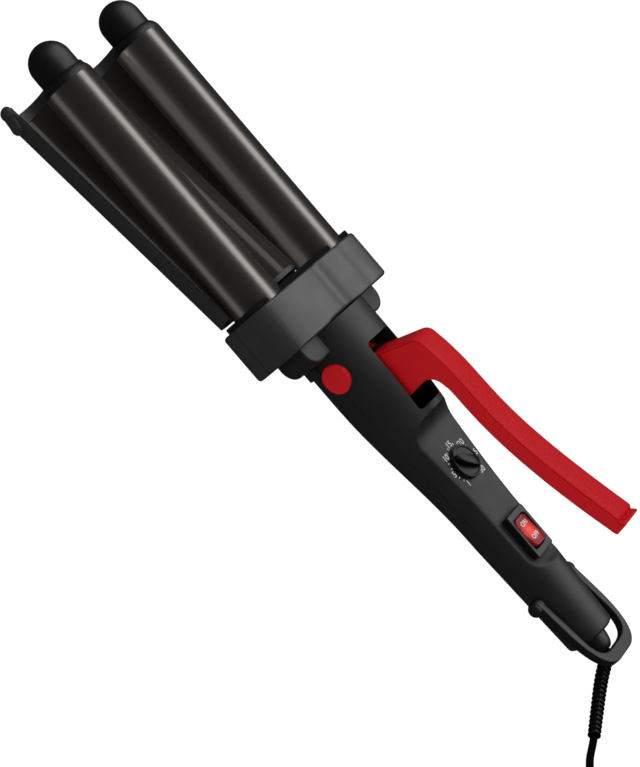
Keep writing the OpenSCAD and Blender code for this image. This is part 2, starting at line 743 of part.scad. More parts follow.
module jaw_arm() {
    color("#8d9094") in_jaw() difference() {
        union() {
            along_y(-arm_half, arm_half) polygon([[bridge_front - 2, arm_bottom], [arm_front, arm_bottom],
                [arm_front, arm_low_top], [arm_step, arm_low_top], [arm_step, arm_top], [bridge_front - 2, arm_top]]);
            block([bridge_back, bridge_front], [-cheek_out, cheek_out], [-5.5, 6.5]);
            block([lug_x, bridge_front], [cheek_out - over, cheek_out + 2.4], [0, lug_top]);
            both_sides() along_y(cheek_in, cheek_out) polygon(concat([[bridge_back + 1, -5.5], [bridge_back + 1, 6.5]],
                arc(lever_screw_at[1][0], lever_screw_at[1][1], 3.4, 60, 150, 4),
                arc(lever_screw_at[0][0], lever_screw_at[0][1], 3.6, 130, 250, 5), arc(0, 0, hub_r, 230, 310, 5)));
        }
        rod_y(0, 0, pin_r + fit, -20, 20);
        for (p = lever_screw_at) rod_y(p[0], p[1], 1.6, -20, 20);
        for (p = tray_screw_at) translate([p[0], p[1], arm_bottom - over]) cylinder(r = 1.5, h = over + 6);
    }
}

module lever_screws() {
    color("silver") in_jaw() for (p = lever_screw_at)
        translate([p[0], cheek_out, p[1]]) rotate([90, 0, 0]) screw(2 * cheek_out + 1, 1.45, 2.6, 1.5);
}

// The wave's line at distance r from the barrel axes, from its left rim over the crest to its right rim
function wave_line(r, top) = let (n = 24, rise = atan2(-crest_z, half_pitch), step = (180 - 2 * rise) / n,
    rim = asin(top / r)) concat(arc(half_pitch, 0, r, rim, rise - 180, n),
    arc(0, crest_z, arc_sum - r, rise + step, 180 - rise - step, n - 2), arc(-half_pitch, 0, r, -rise, -180 - rim, n));

// The tray's line at distance r from the barrel axes, from rim to rim across its flat base
function tray_line(r, top) = let (n = 16, rim = asin(top / r))
    concat(arc(half_pitch, 0, r, rim, -90, n), arc(-half_pitch, 0, r, -90, -180 - rim, n));

function backwards(p) = [for (i = [len(p) - 1:-1:0]) p[i]];

module wave_plate() {
    color("#4b4844") in_jaw() translate([0, 0, jaw_z]) along_x(jaw_back, jaw_front)
        polygon(concat(wave_line(trough_r, rim_z), backwards(wave_line(under_r, rim_z))));
}

tray_post_r = 3.4;
tray_screw_at = [[jaw_back + 22, 0], [jaw_front - 22, 0]];

module plate_tray() {
    color("#303133") in_jaw() difference() {
        union() {
            translate([0, 0, jaw_z]) {
                along_x(jaw_back, jaw_front + seat)
                    polygon(concat(tray_line(tray_out_r, tray_top), backwards(tray_line(tray_in_r, tray_top))));
                for (x = [jaw_back, jaw_front + seat - tray_wall]) along_x(x, x + tray_wall)
                    polygon(concat(wave_line(tray_in_r, tray_top),
                        backwards(tray_line(tray_in_r + tray_wall / 2, tray_top))));
                along_x(jaw_front + seat, jaw_front + cap_len)
                    polygon(concat(wave_line(trough_r, tray_top), backwards(tray_line(tray_out_r, tray_top))));
            }
            both_sides() difference() {
                hull() {
                    translate([jaw_front + 4.6, bumper_y - 0.2, -2]) sphere(r = bumper_r, $fn = 24);
                    translate([jaw_front - 2.6, bumper_y - 0.6, -5]) sphere(r = bumper_r, $fn = 24);
                }
                rod_x(half_pitch, jaw_z, tray_in_r + tray_wall / 2, jaw_back, jaw_front + 20);
            }
            for (p = tray_screw_at) translate([p[0], p[1], jaw_z - tray_in_r - tray_wall / 2])
                cylinder(r = tray_post_r, h = tray_in_r + tray_wall / 2 - jaw_z + arm_bottom);
        }
        block([jaw_back - over, jaw_back + 4], [-arm_half - seat, arm_half + seat], [arm_bottom - 0.2, 12]);
        for (p = tray_screw_at) {
            translate([p[0], p[1], -30]) cylinder(r = 1.6, h = 40);
            translate([p[0], p[1], -30]) cylinder(r = 2.8, h = 30 + jaw_z - tray_out_r + 3.4);
        }
    }
}

module tray_screws() {
    color("silver") in_jaw() for (p = tray_screw_at) translate([p[0], p[1], jaw_z - tray_out_r + 3.4])
        screw(tray_out_r - jaw_z - 3.4 + arm_bottom + 5);
}

module plate_heater() {
    color("#c8c4b4") in_jaw() block([arm_step + 6, jaw_front - 8], [-5.8, 5.8], [arm_low_top + seat, arm_top - 0.1]);
}

// ---------- controls ----------

module circuit_board() {
    color("#2d6b3c") lying() {
        block([board_x0, board_x1], [-9.8, 9.8], [board_z, board_z + board_t]);
        for (y = [-7.4, 7.4]) translate([dial_x + 14, y, board_z + board_t]) cylinder(r = 1.8, h = 4);
        block([board_x0 + 3, board_x0 + 12], [-6, 6], [board_z + board_t, board_z + board_t + 3.2]);
    }
}

module dial_control() {
    color("#5f6468") lying() translate([dial_x, 0, 0]) difference() {
        union() {
            translate([0, 0, board_z + board_t]) cylinder(r = pot_r, h = panel_z - handle_wall - board_z - board_t - seat);
            translate([0, 0, panel_z - handle_wall - over]) cylinder(r = shaft_r + 1 - seat, h = handle_wall + over);
        }
        translate([0, 0, board_z + board_t + 2]) cylinder(r = shaft_r + fit, h = 30);
    }
}

module dial_shaft() {
    color("silver") lying() translate([dial_x, 0, board_z + board_t + 2 + fit]) difference() {
        cylinder(r = shaft_r, h = knob_z + dial_h - 0.6 - board_z - board_t - 2 - fit);
        rotate([0, 0, dial_turn]) translate([-10, shaft_r * 0.6, panel_z - board_z - board_t - 2]) cube([20, 5, 20]);
    }
}

module dial_knob() {
    r = dial_d / 2;
    color("#1d1e20") lying() translate([dial_x, 0, knob_z]) rotate([0, 0, dial_turn]) difference() {
        union() {
            rotate_extrude($fn = 72) polygon(concat([[0, 0], [r, 0]], arc(r - 0.6, dial_h - 0.6, 0.6, 0, 90, 3),
                [[r - 1, dial_h], [r - 1.4, dial_h - 0.5], [0, dial_h - 0.5]]));
            intersection() {
                translate([-r, -2.2, 0]) cube([2 * r, 4.4, dial_h + dial_bar_h]);
                translate([0, 0, 0]) cylinder(r = r - 0.4, h = 20);
            }
        }
        translate([0, 0, -over]) difference() {
            cylinder(r = shaft_r + fit, h = dial_h - 0.5 + over);
            translate([-10, shaft_r * 0.6 + fit, over + clear]) cube([20, 5, 20]);
        }
    }
}

module switch_body() {
    in_l = rocker_l / 2 + rocker_clear;
    in_w = rocker_w / 2 + rocker_clear - 0.1;
    color("#1b1c1e") lying() translate([switch_x, 0, 0]) difference() {
        union() {
            translate([0, 0, panel_z]) linear_extrude(bezel_h - 0.5) polygon(box_outline(bezel_l / 2,
                -bezel_w / 2, bezel_w / 2, 1.2, 1.2, 4));
            translate([0, 0, bezel_top - 0.5]) linear_extrude(0.5) polygon(box_outline(bezel_l / 2 - 0.5,
                0.5 - bezel_w / 2, bezel_w / 2 - 0.5, 1, 1, 4));
            block([1.5 - bezel_l / 2, bezel_l / 2 - 1.5], [1.1 - bezel_w / 2, bezel_w / 2 - 1.1],
                [panel_z - switch_depth, panel_z]);
            for (s = [-5, 5]) block([s - 0.4, s + 0.4], [-2.4, 2.4], [panel_z - switch_depth - 4, panel_z - switch_depth]);
        }
        block([-in_l, in_l], [-in_w, in_w], [bezel_top - 8, bezel_top + over]);
        rod_y(0, rocker_z, trunnion_r + fit, -in_w - 0.4, in_w + 0.4);
    }
}

module rocker() {
    h = rocker_l / 2;
    color("#d8262c") lying() translate([switch_x, 0, rocker_z]) rotate([0, rocker_tilt, 0]) {
        along_y(-rocker_w / 2, rocker_w / 2) polygon([[-h, 2.6], [0, 1.7], [h, 2.6], [h - 0.1, 1.2], [h - 3, -1.6], [2, -3.6],
            [-2, -3.6], [3 - h, -1.6], [0.1 - h, 1.2]]);
        rod_y(0, 0, trunnion_r, -rocker_w / 2 - 0.5, rocker_w / 2 + 0.5);
    }
}

// ---------- hanging loop ----------

// One half of the loop's inner and outer outlines, from its pivot to its middle
loop_outer = concat([[0, loop_half]], curve([-18, loop_half], [-28, loop_half - 0.3], [-loop_len, 16.6], [-loop_len, 5], 10));
loop_inner = concat([[1, loop_half - loop_bar]], curve([-20, loop_half - loop_bar], [-28, loop_half - loop_bar],
    [loop_end_bar - loop_len, 15], [loop_end_bar - loop_len, 4], 10));

function mirrored(p) = concat(p, [for (q = backwards(p)) [q[0], -q[1]]]);

module hanging_loop() {
    in_half = loop_half - loop_bar;
    color("#2e2f31") lying() translate([loop_x, 0, 0]) rotate([0, loop_raise, 0]) difference() {
        union() {
            translate([0, 0, loop_offset - loop_t / 2]) linear_extrude(loop_t) difference() {
                polygon(mirrored(loop_outer));
                polygon(mirrored(loop_inner));
            }
            both_sides() rod_y(0, 0, knuckle_r, in_half, loop_half);
        }
        both_sides() rod_y(0, 0, loop_pin_r + fit, in_half - over, loop_half + over);
    }
}

// Headed pins pressed into the handle, one each side
module loop_pins() {
    color("#2e2f31") lying() both_sides() translate([loop_x, 0, 0]) rotate([-90, 0, 0]) rotate_extrude()
        polygon(concat([[0, 9.5], [loop_pin_r, 9.5], [loop_pin_r, loop_half + seat], [3.4, loop_half + seat]],
            arc(0, loop_half + seat, 3.4, 10, 90, 6)));
}

// ---------- cord swivel ----------

module swivel_nose() {
    color("#2a2b2d") lying() turned(concat(
        [[hub_bore_r, clip_x + 3], [swivel_r - 0.6, clip_x + 3], [swivel_r, clip_x + 2.4], [swivel_r, clip_x + 0.9 + fit],
        [swivel_r - 0.7, clip_x + 0.9 + fit], [swivel_r - 0.7, clip_x - fit], [swivel_r, clip_x - fit],
        [swivel_r, tail_x - seat], [nose_r, tail_x - seat]],
        [for (i = [0:7]) let (a = 90 * i / 7) [nose_end_r + (nose_r - nose_end_r) * cos(a), tail_x - seat - nose_len * sin(a)]],
        [[hub_bore_r, tail_x - seat - nose_len]]));
}

module swivel_clip() {
    color("silver") lying() difference() {
        rod_x(0, 0, swivel_r + 1.8, clip_x, clip_x + 0.8);
        rod_x(0, 0, swivel_r - 0.7 + fit, clip_x - over, clip_x + 2);
        block([clip_x - over, clip_x + 2], [-2.4, 2.4], [0, 20]);
    }
}

module cord_clamp() {
    color("#303133") lying() difference() {
        block([clamp_x, clamp_x + clamp_l], [-6, 6], [-6.4, 4]);
        rod_x(0, 0, boot_core_r + seat, clamp_x - over, clamp_x + clamp_l + over);
    }
}

// ---------- cord ----------

module strain_relief() {
    color("#1f2021") tube(boot_route, boot_rings, 12);
}

module cord_lead() {
    color("#1f2021") tube(lead_route, same(cord_d / 2, len(lead_route)), 8);
}

coil_w = coil_across * (cord_d + 0.15);
coil_h = coil_layers * (cord_d + 0.15);

module cord_coil() {
    color("#1f2021") translate(coil_mid) rotate_extrude($fn = 48)
        polygon([for (q = box_outline(coil_w / 2, 0, coil_h, 1.5, 1.5, 3)) [coil_d / 2 + q[0], q[1] + 0.05]]);
}

module cord_tie() {
    h = coil_h + 1.7;
    color("#1f2021") translate(coil_mid) rotate([0, 0, -90]) difference() {
        along_x(-3, 3) translate([-coil_d / 2, 0]) polygon(box_outline(coil_w / 2 + 1.3, 0.02, h, 1.8, 1, 3));
        along_x(-4, 4) translate([-coil_d / 2, 0]) polygon(box_outline(coil_w / 2 + 0.5, 0.03, coil_h + 0.15, 1.4, 1.4, 3));
    }
}

module cord_end() {
    color("#1f2021") tube(end_route, same(cord_d / 2, len(end_route)), 8);
}

module plug_body() {
    color("#1f2021") translate(plug_from) {
        turned([[0, plug_neck], [2.6, plug_neck], [3.6, 9], [3.6, 11], [0, 11]]);
        along_x(10, 30) polygon(box_outline(9, -6.5, 6.5, 4, 4, 5));
    }
}

module plug_blades() {
    color("silver") translate(plug_from) for (s = [-1, 1]) block([30, 46], [s * 6.35 - 0.75, s * 6.35 + 0.75],
        [s < 0 ? -3.9 : -3.2, s < 0 ? 3.9 : 3.2]);
}

handle_upper_shell();
handle_lower_shell();
collar_upper_shell();
collar_lower_shell();
heat_shield();
barrel(true);  // barrel_left
barrel(false);  // barrel_right
barrel_tip(true);  // barrel_tip_left
barrel_tip(false);  // barrel_tip_right
barrel_mount(true);  // barrel_mount_left
barrel_mount(false);  // barrel_mount_right
barrel_heater(true);  // barrel_heater_left
barrel_heater(false);  // barrel_heater_right
heat_core(true);  // heat_core_left
heat_core(false);  // heat_core_right
mount_screws();
collar_screws();
handle_screws();
pivot_pin();
pivot_cap(true);  // pivot_cap_left
pivot_cap(false);  // pivot_cap_right
pivot_spacer();
hinge_spring();
lever();
jaw_arm();
lever_screws();
wave_plate();
plate_tray();
plate_heater();
tray_screws();
circuit_board();
dial_control();
dial_knob();
dial_shaft();
switch_body();
rocker();
hanging_loop();
loop_pins();
swivel_nose();
swivel_clip();
cord_clamp();
strain_relief();
cord_lead();
cord_coil();
cord_tie();
cord_end();
plug_body();
plug_blades();
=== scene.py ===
import json
from math import asin, atan, atan2, cos, degrees, exp, pi, radians, sin, sqrt

import bmesh
import bpy
from mathutils import Matrix, Vector


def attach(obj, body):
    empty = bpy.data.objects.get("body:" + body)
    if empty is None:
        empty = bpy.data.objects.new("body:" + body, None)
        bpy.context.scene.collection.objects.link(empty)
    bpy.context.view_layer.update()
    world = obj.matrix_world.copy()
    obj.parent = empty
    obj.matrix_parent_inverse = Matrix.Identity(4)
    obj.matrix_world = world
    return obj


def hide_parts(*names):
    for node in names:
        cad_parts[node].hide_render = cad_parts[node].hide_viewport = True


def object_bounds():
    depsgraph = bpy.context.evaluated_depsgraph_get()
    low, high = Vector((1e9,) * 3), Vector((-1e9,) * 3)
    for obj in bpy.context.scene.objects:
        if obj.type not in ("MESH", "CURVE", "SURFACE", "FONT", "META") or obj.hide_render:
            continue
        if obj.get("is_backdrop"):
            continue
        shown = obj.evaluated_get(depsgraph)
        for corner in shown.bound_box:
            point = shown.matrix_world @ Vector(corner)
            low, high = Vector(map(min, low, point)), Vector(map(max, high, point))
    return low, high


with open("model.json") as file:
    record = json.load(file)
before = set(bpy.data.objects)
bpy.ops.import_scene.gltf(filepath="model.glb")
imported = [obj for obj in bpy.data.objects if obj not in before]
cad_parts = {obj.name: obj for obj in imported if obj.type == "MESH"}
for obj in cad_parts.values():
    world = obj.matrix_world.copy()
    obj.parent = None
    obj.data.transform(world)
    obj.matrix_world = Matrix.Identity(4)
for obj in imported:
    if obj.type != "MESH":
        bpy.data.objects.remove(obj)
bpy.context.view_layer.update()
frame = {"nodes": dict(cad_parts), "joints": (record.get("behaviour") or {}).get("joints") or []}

# ---------- Camera and studio ----------
# A long lens looks down on the waver's left side, rolled so that the tips point up and left.
# The waver lies on a white sweep, and long strip lights give each group of pieces its own sheen.

scene = bpy.context.scene
camera_at = (-0.0159, 0.7759, 0.6683)
sight = Vector((0.0112, -0.7571, -0.6534)).normalized()
sight_right = sight.cross(Vector((0.723, -0.4453, 0.5283))).normalized()
sight_up = sight_right.cross(sight)
camera = bpy.data.objects.new("camera", bpy.data.cameras.new("camera"))
camera.data.lens = 105.04
camera.data.sensor_width = 36
camera.data.clip_end = 20
camera.matrix_world = Matrix.Translation(camera_at) @ Matrix(
    (sight_right, sight_up, -sight)).transposed().to_4x4()
scene.collection.objects.link(camera)
scene.camera = camera
scene.view_settings.view_transform = "Standard"
scene.view_settings.look = "None"


def linear(code):
    """Turns an sRGB hex code to linear red, green, blue and alpha."""
    parts = [int(code[i:i + 2], 16) / 255 for i in (0, 2, 4)]
    return [c / 12.92 if c <= 0.04045 else ((c + 0.055) / 1.055) ** 2.4 for c in parts] + [1.0]


def add(tree, kind, values=(), feeds=(), **settings):
    """Adds a node with its settings, its input values and the sockets that feed its inputs."""
    made = tree.nodes.new(kind)
    for name, value in settings.items():
        setattr(made, name, value)
    for socket, value in values:
        made.inputs[socket].default_value = value
    for socket, source in feeds:
        tree.links.new(source, made.inputs[socket])
    return made


# The room is even, and weaker in gloss than on matte finishes.
room_light, room_gloss = 0.55, 0.03
world = bpy.data.worlds.new("studio")
world.use_nodes = True
sky = world.node_tree
sky.nodes.clear()
ray = add(sky, "ShaderNodeLightPath")
soft = add(sky, "ShaderNodeMix", [("A", room_light), ("B", room_gloss)],
    [("Factor", ray.outputs["Is Glossy Ray"])])
seen = add(sky, "ShaderNodeMix", [("B", 1.0)],
    [("Factor", ray.outputs["Is Camera Ray"]), ("A", soft.outputs[0])])
back = add(sky, "ShaderNodeBackground", [("Color", (1, 1, 1, 1))], [("Strength", seen.outputs[0])])
add(sky, "ShaderNodeOutputWorld", feeds=[("Surface", back.outputs[0])])
scene.world = world
middle_x = 0.05


def lamp(name, angle, far, size, watts, matte=True, only=None, blockers=None):
    """A lamp so many degrees from the left over the top, for matte light or gloss, on all or one group."""
    made = bpy.data.lights.new(name, "AREA")
    made.shape = "RECTANGLE"
    made.size, made.size_y = size
    made.energy = watts
    stand = bpy.data.objects.new(name, made)
    stand.location = (middle_x, far * cos(radians(angle)), far * sin(radians(angle)))
    stand.rotation_euler = (-stand.location).to_track_quat("-Z", "Y").to_euler()
    stand.visible_diffuse, stand.visible_glossy = matte, not matte
    scene.collection.objects.link(stand)
    if only:
        stand.light_linking.receiver_collection = only
    if blockers:
        stand.light_linking.blocker_collection = blockers


# Each strip light serves one group of pieces. The two low ones stand lower than the sweep, and nothing
# blocks them but what is in the clear way: the cord.
coated = bpy.data.collections.new("coated pieces")
far_coated = bpy.data.collections.new("right barrel")
moulded = bpy.data.collections.new("moulded pieces")
collar_group = bpy.data.collections.new("collar")
red_group = bpy.data.collections.new("red pieces")
clear_way = bpy.data.collections.new("clear way")
lamp("key", 121, 1.75, (1.0, 1.0), 9)
lamp("fill", 69, 1.5, (1.0, 1.0), 4)
lamp("streak", 114, 3, (6, 1.25), 190, False, coated)
lamp("edge_streak", -38, 3, (6, 1.4), 43, False, coated, clear_way)
lamp("edge_streak_right", -38, 3, (6, 0.8), 270, False, far_coated, clear_way)
lamp("sheen", 115, 3, (6, 4.2), 140, False, moulded)
lamp("collar_sheen", 140, 3, (6, 1.2), 76, False, collar_group)
lamp("red_fill", 22, 2, (1.0, 1.0), 5, True, red_group)


def paint(name, code, roughness, size, depth, light=None, dark=None, rough=None, **sockets):
    """A finish with grain of that size and depth in millimetres, and two colours and a range of roughness."""
    made = bpy.data.materials.new(name)
    made.use_nodes = True
    tree = made.node_tree
    shader = tree.nodes["Principled BSDF"]
    shader.inputs["Base Color"].default_value = linear(code)
    shader.inputs["Roughness"].default_value = roughness
    for socket, value in sockets.items():
        shader.inputs[socket.replace("_", " ")].default_value = value
    spot = add(tree, "ShaderNodeTexCoord")
    grid = add(tree, "ShaderNodeMapping", [("Scale", (1000,) * 3)], [("Vector", spot.outputs["Object"])])
    place = grid.outputs[0]
    cloud = add(tree, "ShaderNodeTexNoise", [("Scale", 1 / size), ("Detail", 3.0), ("Roughness", 0.6)],
        [("Vector", place)])
    bump = add(tree, "ShaderNodeBump", [("Strength", 1.0), ("Distance", depth / 1000)],
        [("Height", cloud.outputs["Fac"])])
    tree.links.new(bump.outputs[0], shader.inputs["Normal"])
    drift = 40 * size
    wide = add(tree, "ShaderNodeTexNoise", [("Scale", 1 / drift), ("Detail", 2.0)], [("Vector", place)])
    if light:
        tint = add(tree, "ShaderNodeMix", [(6, linear(dark)), (7, linear(light))],
            [(0, wide.outputs["Fac"])], data_type="RGBA")
        tree.links.new(tint.outputs[2], shader.inputs["Base Color"])
    if rough:
        dull = add(tree, "ShaderNodeMapRange", [("From Min", 0.3), ("From Max", 0.7),
            ("To Min", rough[0]), ("To Max", rough[1])], [("Value", wide.outputs["Fac"])])
        tree.links.new(dull.outputs[0], shader.inputs["Roughness"])
    return made


# White paper sweep. It gives light of its own, so that only a faint shadow is left on it, and it is kept
# out of reflections and of light that bounces.
sweep_paper = paint("matte_white_paper", "ffffff", 0.9, 1.2, 0.02, Base_Color=(0.06, 0.06, 0.06, 1),
    Specular_IOR_Level=0.0, Emission_Color=(1, 1, 1, 1), Emission_Strength=0.985)
floor_half = 6.0
floor_mesh = bpy.data.meshes.new("paper_sweep")
floor_mesh.from_pydata([(x * floor_half, y * floor_half, 0) for x, y in ((-1, -1), (1, -1), (1, 1), (-1, 1))],
    [], [(0, 1, 2, 3)])
floor = bpy.data.objects.new("paper_sweep", floor_mesh)
floor_mesh.materials.append(sweep_paper)
scene.collection.objects.link(floor)
floor.visible_glossy = False
floor.visible_diffuse = False
floor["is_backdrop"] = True

# ---------- Cord ----------
# Two core mains lead, 3.6 mm across and 1.8 m long, with a soft matte PVC sheath.
# It leaves the strain relief, lies on the table and is put away in a tied coil beside the tail.

# Shapes are drawn in millimetres. Most are drawn in the handle's frame, which has the handle's axis along X
# with the tips ahead. The hinge pin crosses it just above that axis.
joints = {j["name"]: j for j in frame["joints"]}
pin = Vector(joints["jaw_hinge"]["pos_m"])
rise = Vector(joints["dial_turn"]["axis"])
ahead = Vector((rise.z, 0, -rise.x))
pivot_lift = 0.9
handle_place = Matrix.Translation(pin - rise * pivot_lift / 1000) @ Matrix(
    (ahead, (0, 1, 0), rise)).transposed().to_4x4() @ Matrix.Scale(0.001, 4)
world_place = Matrix.Scale(0.001, 4)

# The sheath is extruded smooth and rubs dull, so that it stays nearly black with a weak, broad sheen.
pvc = paint("extruded_pvc_sheath", "0d0d0e", 0.5, 0.35, 0.012, "070708", "040405", (0.5, 0.65), IOR=1.5)

cord_d = 3.6
relief_points = [(-173.4, 0, 0), (-174.8, 0, -0.1), (-176, 0.6, -0.6), (-177, 2.2, -1.5), (-178.4, 5.2, -2.3),
    (-180.2, 9.2, -3.1), (-182.4, 13.6, -3.8), (-185, 18.4, -4.6), (-188, 23.8, -5.4), (-191, 29.4, -6.1),
    (-194.2, 35.6, -6.7)]
relief_line = [handle_place @ Vector(p) * 1000 for p in relief_points]
lead_points = [(-204, 40.6, 2.3), (-206, 46, 1.9), (-208.6, 51, 1.9), (-212.2, 55.6, 1.9), (-217, 59, 1.9),
    (-223, 61.2, 1.9), (-230, 62.3, 1.9)]
coil_mid = Vector((-238, 92))
coil_r, turn_gap, layer_gap = 20, 3.72, 3.62
rest_z, layer_z = 1.9, 1.85
way_in = 29.6          # distance of the lead from the coil's middle, where it joins and leaves the coil
# Degrees round the coil: a step to the next turn, and where the last turn starts to fall and how far.
step_zone, fall_from, fall_over = 60, 65, 100
turns = []
for layer, radii in enumerate([(1.5, 0.5, -0.5, -1.5), (-1, 0, 1), (1.5, 0.5, -0.5, -1.5), (-1, 0)]):
    turns += [(coil_r + turn_gap * r, layer_z + layer_gap * layer) for r in radii]
coil_points = []
for number, (radius, height) in enumerate(turns + [(way_in, turns[-1][1])]):
    before_r, before_z = (way_in, rest_z) if number == 0 else turns[number - 1]
    last = number == len(turns)
    for along in range(0, 180 if last else 360, 10):
        share = min(1, along / step_zone)
        share = share * share * (3 - 2 * share)
        drop = 0
        if last and along > fall_from:
            down = min(1, (along - fall_from) / fall_over)
            drop = (height - rest_z) * down * down * (3 - 2 * down)
        r = before_r + (radius - before_r) * share
        angle = radians(along)
        coil_points.append((coil_mid.x - r * sin(angle), coil_mid.y - r * cos(angle),
            before_z + (height - before_z) * share - drop))
plug_at = Vector((-215.2, 121.6, 6.6))
end_points = [(x, plug_at.y, z) for x, z in ((-238, 1.9), (-233, 1.95), (-228, 3.1), (-223, 4.9), (-218, 6.3),
    (plug_at.x + 3, 6.6))]


def flowing(route, steps):
    """A smooth line through the points of a route, with that many steps between two points."""
    line = []
    for i in range(len(route) - 1):
        p0, p1, p2, p3 = (Vector(route[max(0, min(len(route) - 1, i + k))]) for k in (-1, 0, 1, 2))
        for s in range(steps):
            t = s / steps
            line.append(0.5 * (2 * p1 + (p2 - p0) * t + (2 * p0 - 5 * p1 + 4 * p2 - p3) * t ** 2
                + (3 * p1 - p0 - 3 * p2 + p3) * t ** 3))
    return line + [Vector(route[-1])]


def threaded(name, line):
    """A curve through the points of a line."""
    curve = bpy.data.curves.new(name, "CURVE")
    curve.dimensions = "3D"
    run = curve.splines.new("POLY")
    run.points.add(len(line) - 1)
    for spot, p in zip(run.points, line):
        spot.co = (*(p / 1000), 1)
    return curve


cord_line = flowing(relief_line + lead_points, 4)[:-1]
cord_line += flowing(lead_points[-1:] + coil_points + end_points, 3)
cord_length = sum((b - a).length for a, b in zip(cord_line, cord_line[1:])) / 1000
print("cord length", round(cord_length, 3))
cord_curve = threaded("mains_cord", cord_line)
cord_curve.bevel_depth = cord_d / 2000
cord_curve.bevel_resolution = 3
cord_curve.use_fill_caps = True
cord_curve.materials.append(pvc)
cord = bpy.data.objects.new("mains_cord", cord_curve)
scene.collection.objects.link(cord)
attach(cord, "body")
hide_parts("cord_lead", "cord_coil", "cord_end")
clear_way.objects.link(cord)


def loft(rings, ring_closed=False):
    """Skin over rings of equally many points; the ends are capped, unless the last ring meets the first."""
    count = len(rings[0])
    points = [p for ring in rings for p in ring]
    faces = []
    for i in range(len(rings) if ring_closed else len(rings) - 1):
        a, b = i * count, (i + 1) % len(rings) * count
        faces += [[a + k, a + (k + 1) % count, b + (k + 1) % count, b + k] for k in range(count)]
    if not ring_closed:
        faces += [list(range(count))[::-1], list(range(len(points) - count, len(points)))]
    return points, faces


def arc(cx, cy, r, start, end, steps):
    return [(cx + r * cos(radians(start + (end - start) * i / steps)),
        cy + r * sin(radians(start + (end - start) * i / steps))) for i in range(steps + 1)]


def rounded_box(half, low, high, r_high, r_low, steps=6):
    return (arc(half - r_high, high - r_high, r_high, 90, 0, steps)
        + arc(half - r_low, low + r_low, r_low, 0, -90, steps)
        + arc(r_low - half, low + r_low, r_low, -90, -180, steps)
        + arc(r_high - half, high - r_high, r_high, 180, 90, steps))


def solid(name, shape):
    """A mesh object in millimetres, its doubles merged and its normals outwards."""
    mesh = bpy.data.meshes.new(name)
    mesh.from_pydata([tuple(p) for p in shape[0]], [], shape[1])
    work = bmesh.new()
    work.from_mesh(mesh)
    bmesh.ops.remove_doubles(work, verts=work.verts, dist=1e-4)
    bmesh.ops.recalc_face_normals(work, faces=work.faces)
    work.to_mesh(mesh)
    work.free()
    made = bpy.data.objects.new(name, mesh)
    scene.collection.objects.link(made)
    return made


def dress(mesh, finish):
    """Gives a mesh one finish in place of what it has."""
    mesh.materials.clear()
    mesh.materials.append(finish)


def make(name, shape, place, finish, body, stands_for=(), sharp=35, edge=0.0, steps=2, cutters=(),
        group=moulded):
    """Makes a piece from its points and faces: carved, placed, shaded, riding on its body, in its group."""
    piece = solid(name, shape)
    if cutters:
        carved(piece, cutters)
    mesh = piece.data
    mesh.name = name
    mesh.transform(place)
    for face in mesh.polygons:
        face.use_smooth = True
    mesh.set_sharp_from_angle(angle=radians(sharp))
    dress(mesh, finish)
    if edge:
        round_off = piece.modifiers.new("rounded edges", "BEVEL")
        round_off.width = edge / 1000
        round_off.segments = steps
        round_off.limit_method = "ANGLE"
        round_off.angle_limit = radians(sharp)
        round_off.harden_normals = True
    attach(piece, body)
    if stands_for:
        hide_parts(*stands_for)
    if group:
        group.objects.link(piece)
    return piece


# Tie: a soft strap wrapped once round the coil's turns.
strap_half, strap_t = 2.8, 0.55
coil_half = 2 * turn_gap + 0.25
coil_top = layer_z + 3 * layer_gap + cord_d / 2
strap_mid = Vector((coil_mid.x - coil_r, coil_mid.y, coil_top / 2))
to_side = Vector((0, strap_half, 0))
strap_rings = []
for out, up in rounded_box(coil_half + 0.45, 0.05, coil_top + 0.7, 2.0, 1.2, 6):
    outside = Vector((coil_mid.x - coil_r + out, coil_mid.y, up))
    inside = outside + (strap_mid - outside).normalized() * strap_t
    strap_rings.append([outside - to_side, outside + to_side, inside + to_side, inside - to_side])
cord_tie = make("coil_strap", loft(strap_rings, True), world_place, pvc, "body", ["cord_tie"],
    edge=0.15)


def moved(shape, x=0, y=0, z=0):
    return [(p[0] + x, p[1] + y, p[2] + z) for p in shape[0]], shape[1]


# Plug: a two blade moulded plug with a stepped neck and two grip ridges on each side.
plug_rings = []
for x, half_y, half_z, corner in [(2.1, 2.5, 2.5, 2.45), (2.5, 2.9, 2.9, 2.85), (8.6, 3.6, 3.6, 3.5),
        (10.4, 5.2, 4.6, 3.6), (12, 8.3, 6.0, 4.4), (13.4, 8.9, 6.4, 4.4), (17, 9, 6.5, 4.4),
        (17.6, 8.6, 6.5, 4.2), (19, 8.6, 6.5, 4.2), (19.6, 9, 6.5, 4.4), (21, 9, 6.5, 4.4),
        (21.6, 8.6, 6.5, 4.2), (23, 8.6, 6.5, 4.2), (23.6, 9, 6.5, 4.4), (29.2, 9, 6.5, 4.4),
        (30, 8.4, 5.9, 3.9)]:
    plug_rings.append([(x, y, z) for y, z in rounded_box(half_y, -half_z, half_z, corner, corner, 5)])
plug = make("plug_moulding", moved(loft(plug_rings), *plug_at), world_place, pvc, "body",
    ["plug_body"], sharp=50)

# The blades are brass with a bright nickel plate that has dulled a little in use.
nickel = paint("nickel_plated_brass", "b9b4a6", 0.28, 0.2, 0.004, "bdb8ab", "aaa494", (0.22, 0.4),
    Metallic=1.0)
blades = frame["nodes"]["plug_blades"]
dress(blades.data, nickel)


def joined(*shapes):
    """Puts several shapes in one piece."""
    points, faces = [], []
    for more_points, more_faces in shapes:
        faces += [[i + len(points) for i in face] for face in more_faces]
        points += list(more_points)
    return points, faces


